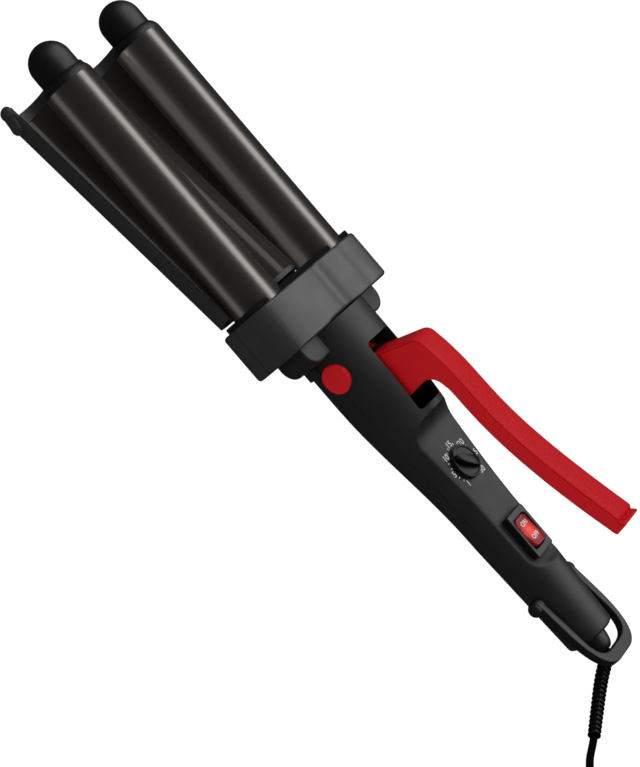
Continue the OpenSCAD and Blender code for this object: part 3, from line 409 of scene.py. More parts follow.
def beside(line, i, angle):
    """The direction away from a line at one of its points, at an angle round it."""
    way = (line[min(i + 1, len(line) - 1)] - line[max(i - 1, 0)]).normalized()
    one = Vector((0, 0, 1)).cross(way).normalized()
    two = way.cross(one)
    return cos(angle) * one + sin(angle) * two


def hose(line, radius, sides=16):
    """A round tube along a line."""
    return loft([[p + radius * beside(line, i, 2 * pi * k / sides) for k in range(sides)]
        for i, p in enumerate(line)])


def turned(profile, sides=96, loop=False):
    """Turns (x, radius) points about the X axis. A point on the axis closes the shape in a pole."""
    points, faces, rings = [], [], []
    for x, r in profile:
        start = len(points)
        if r < 1e-6:
            points.append((x, 0, 0))
            rings.append([start] * sides)
        else:
            points += [(x, r * cos(2 * pi * k / sides), r * sin(2 * pi * k / sides))
                for k in range(sides)]
            rings.append(list(range(start, start + sides)))
    pairs = list(zip(rings, rings[1:] + rings[:1] if loop else rings[1:]))
    for a, b in pairs:
        for k in range(sides):
            corners = [a[k], a[(k + 1) % sides], b[(k + 1) % sides], b[k]]
            face = [c for i, c in enumerate(corners) if c not in corners[:i]]
            if len(face) > 2:
                faces.append(face)
    return points, faces


def frozen(holder):
    """The plain mesh of an object, as its modifiers leave it."""
    return bpy.data.meshes.new_from_object(holder.evaluated_get(bpy.context.evaluated_depsgraph_get()))


# Strain relief: moulded PVC, ribbed so that it bends with the cord, and pushed into the swivel.
relief_core, relief_r, relief_end_r = 2.35, 3.4, 3.0
rail_out, rail_r, rib_count = 1.95, 0.85, 19
relief_dense = flowing(relief_line, 4)
rails = []
for turn_angle in (20, 110, 200, 290):
    rail = [p + rail_out * beside(relief_dense, i, radians(turn_angle))
        for i, p in enumerate(relief_dense)]
    rails.append(hose(rail, rail_r, 8))
relief = make("strain_relief_core", joined(hose(relief_dense, relief_core), *rails), world_place, pvc,
    "body", ["strain_relief"])

rib_shape = turned([(-0.62, 0), (-0.62, 0.84), (-0.42, 0.99), (0, 1.0), (0.42, 0.99), (0.62, 0.84),
    (0.62, 0)], 32)
rib_mesh = bpy.data.meshes.new("relief_rib")
rib_mesh.from_pydata([(y * relief_r / 1000, z * relief_r / 1000, x / 1000) for x, y, z in rib_shape[0]],
    [], rib_shape[1])
for face in rib_mesh.polygons:
    face.use_smooth = True
rib = bpy.data.objects.new("relief_rib", rib_mesh)
rib_path = bpy.data.objects.new("relief_path", threaded("relief_path", relief_dense[5:]))
scene.collection.objects.link(rib_path)
ribs = bpy.data.node_groups.new("ribs_along_relief", "GeometryNodeTree")
ribs.interface.new_socket("Geometry", in_out="INPUT", socket_type="NodeSocketGeometry")
for name, kind in [("Rib", "NodeSocketObject"), ("Count", "NodeSocketInt"), ("End size", "NodeSocketFloat"),
        ("Finish", "NodeSocketMaterial")]:
    ribs.interface.new_socket(name, in_out="INPUT", socket_type=kind)
ribs.interface.new_socket("Geometry", in_out="OUTPUT", socket_type="NodeSocketGeometry")
given = add(ribs, "NodeGroupInput")
spots = add(ribs, "GeometryNodeCurveToPoints", mode="COUNT",
    feeds=[("Curve", given.outputs["Geometry"]), ("Count", given.outputs["Count"])])
number = add(ribs, "GeometryNodeInputIndex")
last_rib = add(ribs, "ShaderNodeMath", [(1, 1)], [(0, given.outputs["Count"])], operation="SUBTRACT")
part = add(ribs, "ShaderNodeMath", feeds=[(0, number.outputs[0]), (1, last_rib.outputs[0])],
    operation="DIVIDE")
taper = add(ribs, "ShaderNodeMapRange", [("To Min", 1.0)],
    [("Value", part.outputs[0]), ("To Max", given.outputs["End size"])])
one_rib = add(ribs, "GeometryNodeObjectInfo", feeds=[("Object", given.outputs["Rib"])])
placed = add(ribs, "GeometryNodeInstanceOnPoints", feeds=[("Points", spots.outputs["Points"]),
    ("Instance", one_rib.outputs["Geometry"]), ("Rotation", spots.outputs["Rotation"]),
    ("Scale", taper.outputs[0])])
real = add(ribs, "GeometryNodeRealizeInstances", feeds=[("Geometry", placed.outputs[0])])
coat = add(ribs, "GeometryNodeSetMaterial",
    feeds=[("Geometry", real.outputs[0]), ("Material", given.outputs["Finish"])])
add(ribs, "NodeGroupOutput", feeds=[(0, coat.outputs[0])])
grow = rib_path.modifiers.new("ribs", "NODES")
grow.node_group = ribs
sockets = {item.name: item.identifier for item in ribs.interface.items_tree if item.in_out == "INPUT"}
grow[sockets["Rib"]] = rib
grow[sockets["Count"]] = rib_count
grow[sockets["End size"]] = relief_end_r / relief_r
grow[sockets["Finish"]] = pvc
done = frozen(rib_path)
rib_path.modifiers.clear()
bpy.data.objects.remove(rib_path)
bpy.data.objects.remove(rib)
relief_ribs = bpy.data.objects.new("strain_relief_ribs", done)
scene.collection.objects.link(relief_ribs)
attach(relief_ribs, "body")

# ---------- Barrels ----------
# Aluminium tubes with a satin ceramic coat, rolled in at the front where the tip is pushed in.
# The coat is a very dark warm grey, and its fine texture spreads each strip light into a soft streak.

# The coat's own grain is some hundredths of a millimetre, and is drawn at 0.3 mm so that it shows.
ceramic = paint("satin_ceramic_coat", "262422", 0.3, 0.3, 0.004, "282523", "242220", (0.285, 0.3),
    IOR=1.6, Specular_Tint=linear("fff6ee"))
barrel_r, half_pitch, barrel_lift = 12.7, 28.0, 0.9
barrel_back, shoulder_x, barrel_end, barrel_wall = 23.2, 174.6, 179.2, 0.9


def flipped(shape):
    """The same shape on the right side."""
    return [(p[0], -p[1], p[2]) for p in shape[0]], [list(reversed(f)) for f in shape[1]]


def both_sides(name, node, shape, finish, group):
    """Makes a piece of the body on the left, and its twin on the right, which it returns."""
    for side, form in (("left", shape), ("right", flipped(shape))):
        made = make(name + side, form, handle_place, finish, "body", [node + side], sharp=50,
            group=group)
    return made


tube = moved(turned([(barrel_back, barrel_r - barrel_wall)]
    + [(x, barrel_r) for x in (barrel_back, 60, 100, 140, shoulder_x - 0.8)]
    + [(shoulder_x, barrel_r - 0.04), (shoulder_x, barrel_r - barrel_wall)], 128, True),
    0, half_pitch, barrel_lift)
far_tube = both_sides("barrel_tube_", "barrel_", tube, ceramic, coated)
far_coated.objects.link(far_tube)

# Cool tips: hollow mouldings in heat proof black plastic, matte with a faint sheen, pushed into the tubes.
# The rolled end of each tube is bare of coat and blackened.
tip_plastic = paint("moulded_pps_tip", "0e0e0f", 0.42, 0.25, 0.008, "121213", "0c0c0d", (0.37, 0.48), IOR=1.5)
tip_r, tip_x = 10.25, 196.7
roll_in = [(0.5, 0.1), (1.1, 0.24), (1.7, 0.42), (2.3, 0.66), (2.9, 0.98), (3.4, 1.3), (3.8, 1.62),
    (4.15, 1.95), (4.4, 2.25), (4.5, 2.45), (4.45, 2.7)]


def bend(x, r, long, wide, angles):
    """A rounded end for a profile: points on an ellipse round (x, r), by their angles from the radius."""
    return [(x + long * sin(radians(a)), r + wide * cos(radians(a))) for a in angles]


shoulder = moved(turned([(shoulder_x, barrel_r - 1), (shoulder_x, barrel_r - 0.05)]
    + [(shoulder_x + x, barrel_r - drop) for x, drop in roll_in]
    + [(barrel_end - 0.4, tip_r - 0.9)], 128, True), 0, half_pitch, barrel_lift)
tip = moved(turned([(barrel_end - 5, 0), (barrel_end - 5, tip_r - 1.2), (barrel_end - 0.3, tip_r - 1.2),
    (barrel_end - 0.3, tip_r - 0.3), (barrel_end + 0.05, tip_r)]
    + bend(tip_x - tip_r, 0, tip_r, tip_r, range(0, 90, 5)) + [(tip_x, 0)], 96), 0, half_pitch, barrel_lift)
both_sides("cool_tip_", "barrel_tip_", joined(tip, shoulder), tip_plastic, moulded)

# ---------- Wave plate jaw ----------
# A pressed aluminium plate follows both barrels and rises in a crest between them, in a smoother coat. It
# lies in a black moulded tray that closes it below and ends in a lip with a bumper at its left corner.

# The plate's coat lies smooth over the pressing, so that it mirrors a little more than the barrels do.
plate_coat = paint("smooth_ceramic_coat", "2c2a29", 0.18, 0.3, 0.0006, "2e2c2b", "292826", (0.165, 0.18),
    IOR=1.17, Specular_Tint=linear("fff3e6"))
# The jaw's frame is the handle's, turned down by the opening angle about the pin.
open_angle = radians(joints["jaw_hinge"]["range_deg"][1])
jaw_place = handle_place @ Matrix.Translation((0, 0, pivot_lift)) @ Matrix.Rotation(open_angle, 4, "Y")
trough_r, plate_t, tray_gap, tray_wall = 13.1, 0.8, 0.1, 0.8
crest_top, rim_z, tray_top = 9.8, 0.6, 0.4
jaw_back, jaw_front, cap_len = 51.5, 180.0, 5.6
rear_cap_len, rear_cap_low = 2.4, 0.6
crest_r = (half_pitch ** 2 + crest_top ** 2 - trough_r ** 2) / (2 * (trough_r + crest_top))
crest_z = crest_top - crest_r
slope = degrees(atan2(-crest_z, half_pitch))


def wave_line(r, top, steps=48):
    """The wave at distance r from the barrel axes, from one rim over the crest to the other."""
    rim = degrees(asin(top / r))
    return (arc(half_pitch, 0, r, rim, slope - 180, steps)[:-1]
        + arc(0, crest_z, crest_r + trough_r - r, slope, 180 - slope, steps)
        + arc(-half_pitch, 0, r, -slope, -180 - rim, steps)[1:])


def tray_line(r, top, steps=32):
    """The tray at distance r from the barrel axes, from rim to rim across its flat base."""
    rim = degrees(asin(top / r))
    return arc(half_pitch, 0, r, rim, -90, steps) + arc(-half_pitch, 0, r, -90, -180 - rim, steps)


def bar(outline, *ends):
    """A straight bar with that outline in Y and Z."""
    return loft([[(x, y, z) for y, z in outline] for x in ends])


under_r = trough_r + plate_t
tray_in = under_r + tray_gap
tray_out = tray_in + tray_wall
make("wave_pressing", bar(wave_line(trough_r, rim_z) + wave_line(under_r, rim_z)[::-1], jaw_back, jaw_front),
    jaw_place, plate_coat, "jaw", ["wave_plate"], edge=0.25, group=coated)

# The tray is moulded in the plastic of the tips, painted a lighter grey as painted light on its outer side.
tray_plastic_painted_lighter = paint("moulded_pps_tray", "29292a", 0.4, 0.3, 0.006, "2c2c2d", "262627", (0.4, 0.48), IOR=1.5)
shell = bar(tray_line(tray_out, tray_top) + tray_line(tray_in, tray_top)[::-1], jaw_back, jaw_front + 0.1)
walls = [bar(wave_line(tray_in, tray_top) + tray_line(tray_in + 0.4, tray_top)[::-1], x, x + tray_wall)
    for x in (jaw_back, jaw_front - 0.7)]
cap = bar(wave_line(trough_r, tray_top) + tray_line(tray_out, tray_top)[::-1],
    jaw_front + 0.1, jaw_front + cap_len)
notch_half, notch_top = 5.7, 7.5
rear_edge = degrees(asin((rear_cap_low - crest_z) / crest_r))
rear_cap = bar(arc(0, crest_z, crest_r, rear_edge, 180 - rear_edge, 32) + [(-notch_half, rear_cap_low),
    (-notch_half, notch_top), (notch_half, notch_top), (notch_half, rear_cap_low)],
    jaw_back - rear_cap_len, jaw_back)
make("wave_tray", joined(shell, *walls, cap, rear_cap), jaw_place, tray_plastic_painted_lighter, "jaw",
    ["plate_tray"], edge=0.3, steps=3)

# The bumper is two soft lumps run into each other, hollowed where the tray's side passes.
low_r, high_r = 3.2, 3.6
keep_out = tray_in + 0.4
low_end = Vector((jaw_front - 2.6, half_pitch + tray_out - 1.0, -5))
high_end = Vector((jaw_front + 4.6, half_pitch + tray_out - 0.4, -2.4))
run_out = high_end - low_end
capsule = turned([(-x, r) for x, r in bend(0, 0, low_r, low_r, range(90, -1, -9))]
    + [(run_out.length * 0.3, low_r * 0.97), (run_out.length * 0.55, low_r * 0.99)]
    + bend(run_out.length, 0, high_r, high_r, range(-30, 91, 8)) + [(run_out.length + high_r, 0)], 40)
aim = run_out.to_track_quat("X", "Z").to_matrix()
bumper_points = []
for p in capsule[0]:
    q = aim @ Vector(p) + low_end
    off = Vector((q.y - half_pitch, q.z))
    if off.length < keep_out:
        off = off.normalized() * keep_out
    bumper_points.append((q.x, half_pitch + off.x, off.y))
make("tray_bumper", (bumper_points, capsule[1]), jaw_place, tray_plastic_painted_lighter, "jaw", sharp=60)

# ---------- Collar and heat shield ----------
# Two charcoal ABS half shells hold the barrels in front of the handle, with a black plate before them.
# The shells are moulded with a fine spark texture that takes a soft sheen, and part low on the side.

# The texture, about 0.1 mm in the mould, is drawn at twice that, so that it shows as a fine grain.
collar_abs = paint("spark_textured_abs_collar", "2d2d2e", 0.4, 0.22, 0.010, "303031", "2a2a2b", (0.38, 0.44),
    IOR=1.52)
collar_x, shield_x, shield_front = 20.9, 45.8, 48.3
collar_half, collar_top, collar_bottom = 45.3, 15.4, 16.9
collar_wall, collar_split, collar_dip, collar_fall = 2.2, 5.0, 0.8, 1.1
crown_half, collar_corner, groove = 38, 8, 0.16


def collar_line(inset, steps=10):
    """The collar's outline: shallow valleys on its top, and sides that fall away a little to the corners."""
    half, low, high = collar_half - inset, inset - collar_bottom, collar_top - inset
    crown = []
    for i in range(41):
        y = crown_half * (1 - i / 20)
        far = abs(y) / crown_half
        dips = collar_dip * exp(-((y + 3) / 4.5) ** 2) + 0.35 * exp(-((y + 27) / 3) ** 2)
        fall = collar_fall * max(0, (far - 0.55) / 0.45) ** 2
        crown.append((y * (half - collar_corner) / crown_half, high - dips - fall))
    r = collar_corner - inset / 2
    side, top, foot = half - r, high - collar_fall - r, low + r
    return (arc(side, top, r, 0, 70, steps) + crown + arc(-side, top, r, 110, 180, steps)
        + arc(-side, foot, r, 180, 270, steps) + arc(side, foot, r, 270, 360, steps))


def sleeve(outline, stations):
    """Skin over an outline of Y and Z that is drawn in by an inset at each station along X."""
    return loft([[(x, y, z) for y, z in outline(inset)] for x, inset in stations])


def block(x0, x1, y0, y1, z0, z1):
    return loft([[(x, y0, z0), (x, y1, z0), (x, y1, z1), (x, y0, z1)] for x in (x0, x1)])


def rod(x0, x1, r, sides=64):
    return turned([(x0, 0), (x0, r), (x1, r), (x1, 0)], sides)


def twin(shape):
    """A shape and its mirror image on the right side."""
    return joined(shape, flipped(shape))


def carved(piece, cutters):
    """Cuts shapes out of a piece, one after the other, and leaves a plain mesh."""
    tools = [solid("cutter", shape) for shape in cutters]
    for tool in tools:
        cut = piece.modifiers.new("cut", "BOOLEAN")
        cut.operation = "DIFFERENCE"
        cut.solver = "EXACT"
        cut.object = tool
    mesh = frozen(piece)
    piece.modifiers.clear()
    piece.data = mesh
    for tool in tools:
        bpy.data.objects.remove(tool)


collar_edges = [(0, 1.5), (0.1, 1.0), (0.3, 0.62), (0.6, 0.33), (1.0, 0.12), (1.5, 0.02), (1.9, 0)]
collar_solid = sleeve(collar_line, [(collar_x + i, d) for i, d in collar_edges]
    + [(shield_x - i, d) for i, d in collar_edges[::-1]])
hollow = bar(rounded_box(collar_half - collar_wall, collar_wall - collar_bottom, collar_top - 1 - collar_wall,
    4, 6.6), collar_x + collar_wall, shield_x + 1)
window = block(collar_x - 1, shield_front + 1, -6.6, 6.6, -10.1, 9.5)
mouths = twin(moved(rod(collar_x + collar_wall, shield_front + 1, barrel_r + 0.1, 96),
    0, half_pitch, barrel_lift))
for name, node, below, above in [("collar_top_half", "collar_upper_shell", -60, groove - collar_split),
        ("collar_bottom_half", "collar_lower_shell", -collar_split - groove, 60)]:
    make(name, collar_solid, handle_place, collar_abs, "body", [node], sharp=32,
        cutters=[block(0, 70, -70, 70, below, above), hollow, mouths, window], group=collar_group)

# The shield is matte and stands in the collar's shade, so that no strip light reaches it.
shield_plastic = paint("moulded_pps_shield", "151516", 0.5, 0.3, 0.01, "171718", "131314", (0.45, 0.55),
    IOR=1.4)
shield_inset = 2.9
shield = sleeve(lambda d: rounded_box(collar_half - shield_inset - d, shield_inset + d - collar_bottom,
    collar_top - shield_inset - d, 4 - d / 2, 6.5 - d / 2),
    [(shield_x, 0), (shield_front - 0.5, 0), (shield_front - 0.15, 0.15), (shield_front, 0.5)])
make("heat_shield_plate", shield, handle_place, shield_plastic, "body", ["heat_shield"],
    sharp=40, cutters=[mouths, window], group=None)

# ---------- Handle ----------
# Two charcoal ABS half shells, screwed from below. The top half carries the flat control panel
# between two coves, and a long slot in the neck lets the lever through.

# The grip has the collar's spark texture in a darker batch, and the hand has rubbed it less shiny.
handle_abs = paint("spark_textured_abs_handle", "1f1f20", 0.46, 0.22, 0.010, "222223", "1c1c1d", (0.44, 0.54),
    IOR=1.52)
neck_r, grip_r, tail_r = 20.8, 14.7, 12.2
tail_x, neck_end, grip_x, tail_round = -164.0, -8.0, -100.0, 2
panel_z, handle_wall = 8.9, 2.2
cove_front, cove_front_r, cove_back, cove_back_r = -49.0, 11.0, -116.0, 12.0
ear_half, ear_len, ear_top, ear_bottom, ear_root, ear_round = 34.5, 10.2, 8.1, 9.3, 16, 1.2


def handle_radius(x):
    if x > neck_end:
        return neck_r
    if x > grip_x:
        return grip_r + (neck_r - grip_r) * (1 + cos(pi * (neck_end - x) / (neck_end - grip_x))) / 2
    if x > tail_x + tail_round:
        return tail_r + (grip_r - tail_r) * (x - tail_x - tail_round) / (grip_x - tail_x - tail_round)
    return tail_r - tail_round + sqrt(max(0, tail_round ** 2 - (tail_x + tail_round - x) ** 2))


def panel_height(x):
    """Height of the cut that makes the panel and its coves, or far above the handle where there is none."""
    if cove_back <= x <= cove_front:
        return panel_z
    if cove_front < x < cove_front + cove_front_r:
        return panel_z + cove_front_r - sqrt(cove_front_r ** 2 - (x - cove_front) ** 2)
    if cove_back - cove_back_r < x < cove_back:
        return panel_z + cove_back_r - sqrt(cove_back_r ** 2 - (x - cove_back) ** 2)
    return 99


def handle_ring(x, inset, angles, ease=1.5):
    """A cross-section of the handle: round, cut flat by the panel, with its edges eased."""
    ring = []
    for angle in angles:
        full, flat = handle_radius(x) - inset, 99.0
        if sin(angle) > 0.05:
            flat = min(99.0, (panel_height(x) - inset) / sin(angle))
        blend = max(0, min(1, 0.5 + 0.5 * (flat - full) / ease))
        r = flat * (1 - blend) + full * blend - ease * blend * (1 - blend)
        ring.append((x, r * cos(angle), r * sin(angle)))
    return ring


stations = [tail_x + x for x in (0, 0.15, 0.5, 1.1, tail_round)]
while stations[-1] < neck_r:
    x = stations[-1]
    stations.append(x + (0.35 if -129 < x < -114 or -51 < x < -36 else 1.4))
stations[-1] = collar_x
upper_angles = [pi * k / 128 for k in range(129)]
lower_angles = [pi + pi * k / 96 for k in range(97)]
seam = 0.08
full_turn = [2 * pi * k / 96 for k in range(96)]
cavity = loft([handle_ring(x, handle_wall, full_turn, 1.0) for x in range(-161, 23, 2)])
swivel_bore = rod(tail_x - 1, tail_x + 4, 5.05, 48)


def across(shape):
    """Lays a turned shape along Y instead of X."""
    return [(-p[1], p[0], p[2]) for p in shape[0]], shape[1]


def upright(shape):
    """Stands a turned shape up along Z instead of X."""
    return [(-p[2], p[1], p[0]) for p in shape[0]], shape[1]


cap_seat = 18.3
cap_bed = moved(across(rod(cap_seat, 24, 7.4, 72)), 0, 0, pivot_lift)
beds = joined(twin(cap_bed), swivel_bore)
slot_cut = loft([[(x, y, z) for y, x in rounded_box(9.5, -34.8, 3.5, 2, 2, 6)] for z in (4, 40)])
dial_x, switch_x = -66.1, -108.2
dial_hole = moved(upright(rod(0, 20, 4, 40)), dial_x)
switch_hole = block(switch_x - 10.1, switch_x + 10.1, -6.5, 6.5, 0, 20)
holes = joined(slot_cut, dial_hole, switch_hole)
screw_at = [(15.8, 22.4, 4 - ear_bottom), (15.8, -22.4, 4 - ear_bottom), (-15, 15.2, -9), (-15, -15.2, -9),
    (-41, 0, 4 - handle_radius(-41)), (-128, 0, 4 - handle_radius(-128))]
screw_wells = joined(*[moved(upright(rod(-25, z, 2.8, 32)), x, y) for x, y, z in screw_at])


def ear(low, high, soft_low, soft_high):
    """The shoulders beside the neck between two heights, with rounded outer edges."""
    r, back = 0.75 * ear_len, collar_x - ear_len
    edge = [(ear_round * (1 - sin(radians(a))), ear_round * (1 - cos(radians(a))))
        for a in (90, 60, 30, 0)]
    levels = [(low + up, d) for up, d in edge] if soft_low else [(low, 0)]
    levels += [(high - down, d) for down, d in edge[::-1]] if soft_high else [(high, 0)]
    return twin(loft([[(collar_x, ear_root, z), (collar_x, ear_half - d, z)]
        + [(x, y, z) for x, y in arc(back + r, ear_half - r, r - d, 90, 180, 10)]
        + [(back + d, ear_root, z)] for z, d in levels]))


upper = loft([[(x, y, max(z, seam)) for x, y, z in handle_ring(s, 0, upper_angles)] for s in stations])
lower = loft([[(x, y, min(z, -seam)) for x, y, z in handle_ring(s, 0, lower_angles)] for s in stations])
lip_r, lip_back, lip_front = 22.3, 5.5, 10.7
lip_turn = degrees(asin(4 / lip_r))
lip = sleeve(lambda d: arc(0, 0, lip_r - d, -lip_turn, lip_turn - 180, 48),
    [(lip_back, 0.5), (lip_back + 0.15, 0.15), (lip_back + 0.5, 0), (lip_front - 0.5, 0),
    (lip_front - 0.15, 0.15), (lip_front, 0.5)])
for name, shape, nodes, cutters in [
        ("handle_top_half", upper, ["handle_upper_shell"], [cavity, holes, beds]),
        ("handle_top_shoulders", ear(seam, ear_top, False, True), [], []),
        ("handle_bottom_half", lower, ["handle_lower_shell"], [cavity, beds, screw_wells]),
        ("handle_bottom_shoulders", ear(-ear_bottom, -seam, True, False), [], [screw_wells]),
        ("handle_front_rim", lip, [], [rod(0, 30, neck_r - 1, 96)])]:
    make(name, shape, handle_place, handle_abs, "body", nodes, sharp=32, cutters=cutters)

# ---------- Pivot caps ----------
# Red ABS buttons that close the holes over the two ends of the hinge pin, pushed in flush with a soft edge.
# The red is moulded through and lies smooth, so that it stays even, with hardly any gloss.

red_abs = paint("semi_gloss_red_abs", "b01620", 0.42, 0.3, 0.0006, "c4151e", "be121a", (0.42, 0.46),
    IOR=1.5, Specular_IOR_Level=0.1)
cap_r, cap_t, cap_round = 7.3, 2.9, 0.9
cap_shape = across(turned([(cap_seat, 0), (cap_seat, cap_r)]
    + bend(cap_seat + cap_t - cap_round, cap_r - cap_round, cap_round, cap_round, range(0, 81, 16))
    + [(cap_seat + cap_t + 0.1, 4), (cap_seat + cap_t + 0.15, 0)], 72))
cap_shape = moved(cap_shape, 0, 0, pivot_lift)
both_sides("pivot_cover_", "pivot_cap_", cap_shape, red_abs, red_group)

# ---------- Lever ----------
# Red ABS moulding screwed to the jaw arm. Its grip is a curved bar with flat sides, parted from the
# top by a fine groove, and it ends in a raised lip that keeps the fingers from slipping off.


def cubic(a, b, c, d, steps):
    """Points of a cubic curve from a to d."""
    made = []
    for i in range(steps + 1):
        t = i / steps
        s = 1 - t
        made.append(tuple(s ** 3 * p + 3 * s * s * t * q + 3 * s * t * t * u + t ** 3 * v
            for p, q, u, v in zip(a, b, c, d)))
    return made


lever_half = 6.9
lever_top = cubic((-12, 40.2), (-47.9, 47.7), (-46, 35.6), (-124, 59.8), 48)
lever_under = cubic((-33, 34.2), (-38.4, 36.9), (-60.8, 29.7), (-127, 52), 48)
front_line = [(4, 6), (-1.8, 12), (-3.2, 18), (-4.7, 24.5), (-6.1, 30.5)] + arc(-12.6, 34.7, 5.4, 18, 84, 14)
back_line = [(4, -3), (-8, -3), (-14.5, 3), (-21, 9.3), (-27, 15)] + arc(-33.6, 26.2, 8, 6, 82, 14)
lip_line = [((-125.2, 59.3), (-127.7, 52.1)), ((-125.8, 58.7), (-128.1, 52.3)),
    ((-126.5, 59.4), (-128.6, 52.5)), ((-127.2, 60.7), (-129.1, 52.8)), ((-127.9, 61.0), (-129.6, 53.1)),
    ((-128.4, 60.7), (-130, 53.5))]
pairs = list(zip(front_line, back_line)) + list(zip(lever_top[3:], lever_under[3:])) + lip_line
lever_rings = []
for number, (hi, lo) in enumerate(pairs):
    hi, lo = Vector(hi), Vector(lo)
    up, mid, tall = (hi - lo).normalized(), (hi + lo) / 2, (hi - lo).length / 2
    side = [(lever_half, 0.8 - tall), (lever_half, -0.35 * tall), (lever_half, 0.35 * tall),
        (lever_half, tall - 1.15), (lever_half - 0.55, tall - 0.95), (lever_half - 0.1, tall - 0.7),
        (lever_half - 0.35, tall - 0.25), (lever_half - 0.95, tall - 0.02)]
    crown = [(3.2, tall + 0.06), (0, tall + 0.1), (-3.2, tall + 0.06)]
    foot = [(0.25 - lever_half, 0.25 - tall), (0.8 - lever_half, -tall), (-3, -tall), (3, -tall),
        (lever_half - 0.8, -tall), (lever_half - 0.25, 0.25 - tall)]
    outline = side + crown + [(-y, z) for y, z in side[::-1]] + foot
    lever_rings.append([(mid.x + up.x * z, y, mid.y + up.y * z) for y, z in outline])
hub = across(turned([(-lever_half, 0), (-lever_half, 4.6), (lever_half, 4.6), (lever_half, 0)], 64))
make("squeeze_lever", joined(loft(lever_rings), moved(hub, 0, 0, pivot_lift)), handle_place, red_abs, "jaw",
    ["lever"], sharp=28, group=red_group)

# ---------- Dial ----------
# Black ABS knob with a pointed grip bar, pushed on its shaft. The temperature steps are pad printed round it.
# The knob is polished in the mould, and the ink dries flat, so that the one shines and the other doesn't.

gloss_black = paint("polished_black_abs", "060606", 0.3, 0.4, 0.002, "080808", "050505", (0.27, 0.36),
    IOR=1.4)
pale_ink = paint("pad_printed_pale_ink", "b4b4b2", 0.6, 0.15, 0.004, "e6e6e4", "d4d4d2", (0.5, 0.7))
dial_r, dial_h, dial_round, knob_z, dial_turn = 8.25, 2.0, 0.6, panel_z + 0.3, 50
disc = upright(turned([(0, 0), (0, dial_r - 0.1), (0.15, dial_r)]
    + bend(dial_h - dial_round, dial_r - dial_round, dial_round, dial_round, range(0, 91, 15))
    + [(dial_h, dial_r - 1.0), (dial_h - 0.45, dial_r - 1.35), (dial_h - 0.5, dial_r - 1.7),
    (dial_h - 0.5, 0)], 96))
bar_rings = []
for out, wide, tall in [(-7.6, 0.9, -0.6), (-7.3, 1.7, 0.5), (-6.6, 2.15, 1.3), (-5.2, 2.4, 1.9),
        (-2, 2.5, 2.15), (2, 2.3, 2.2), (5, 1.8, 2.1), (6.8, 1.25, 1.8), (7.5, 0.9, 1.3), (7.85, 0.6, 0.6),
        (7.9, 0.5, -0.6)]:
    tall = dial_h + tall
    edge = [(wide, 1), (wide, tall - 0.5), (wide - 0.18, tall - 0.15), (wide - 0.5, tall)]
    bar_rings.append([(out, y, z) for y, z in edge + [(-y, z) for y, z in edge[::-1]]])
spun = Matrix.Rotation(radians(dial_turn), 3, "Z")
knob = joined(disc, loft(bar_rings))
knob = ([tuple(spun @ Vector(p) + Vector((dial_x, 0, knob_z))) for p in knob[0]], knob[1])
make("dial", knob, handle_place, gloss_black, "dial", ["dial_knob"], sharp=40)


def printed(name, text, height, x, y, z, tilt, finish, body):
    """Plain letters or figures laid on a surface of the handle's frame, their tops towards the barrels."""
    ink = 0.05
    words = bpy.data.curves.new(name, "FONT")
    words.body = text
    words.size = height
    words.offset = 0.02 * height
    words.extrude = ink / 2
    words.align_x = "CENTER"
    words.align_y = "CENTER"
    words.resolution_u = 4
    holder = bpy.data.objects.new(name, words)
    scene.collection.objects.link(holder)
    mesh = frozen(holder)
    bpy.data.objects.remove(holder)
    mesh.transform(handle_place @ Matrix.Translation((x, y, z)) @ Matrix.Rotation(radians(tilt), 4, "Y")
        @ Matrix.Rotation(radians(-90), 4, "Z"))
    dress(mesh, finish)
    piece = bpy.data.objects.new(name, mesh)
    scene.collection.objects.link(piece)
    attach(piece, body)


scale_r, tick_in, tick_out, first_figure, step_angle = 10.5, 9.2, 10.4, 139.5, 46.5
for number, figure in enumerate((1, 5, 10, 15, 20, 25, 30)):
    angle = radians(first_figure - step_angle * number)
    printed("scale_figure_%d" % figure, str(figure), 4.2, dial_x + scale_r * cos(angle),
        scale_r * sin(angle), panel_z + 0.03, 0, pale_ink, "body")
ticks = []
for number in range(6):
    for part_turn in (15.5, 31):
        angle = first_figure - step_angle * number - part_turn
        low = arc(dial_x, 0, tick_in, angle - 1.2, angle + 1.2, 1)
        high = arc(dial_x, 0, tick_out, angle - 1.0, angle + 1.0, 1)
        ticks.append(loft([[(x, y, panel_z + z) for x, y in low + high[::-1]] for z in (-0.02, 0.05)]))
make("scale_ticks", joined(*ticks), handle_place, pale_ink, "body")

# ---------- Switch ----------
# Rocker switch: a tall black bezel clipped in the panel, and a translucent red rocker with a white legend.
# The bezel is moulded in PA66, smoother than the panel. The rocker is clear red plastic with a nearly
# polished face, and painted light makes it glow brightest in its middle and fade towards its ends.

bezel_plastic = paint("moulded_black_pa66", "0c0c0d", 0.3, 0.3, 0.004, "0f0f10", "0a0a0b", (0.25, 0.36),
    IOR=1.53)
red_with_painted_glow = paint("tinted_polycarbonate", "c3141b", 0.3, 0.4, 0.001, "9a0f15", "8c0b10", (0.26, 0.34),
    IOR=1.35, Emission_Color=linear("ff4a34"))
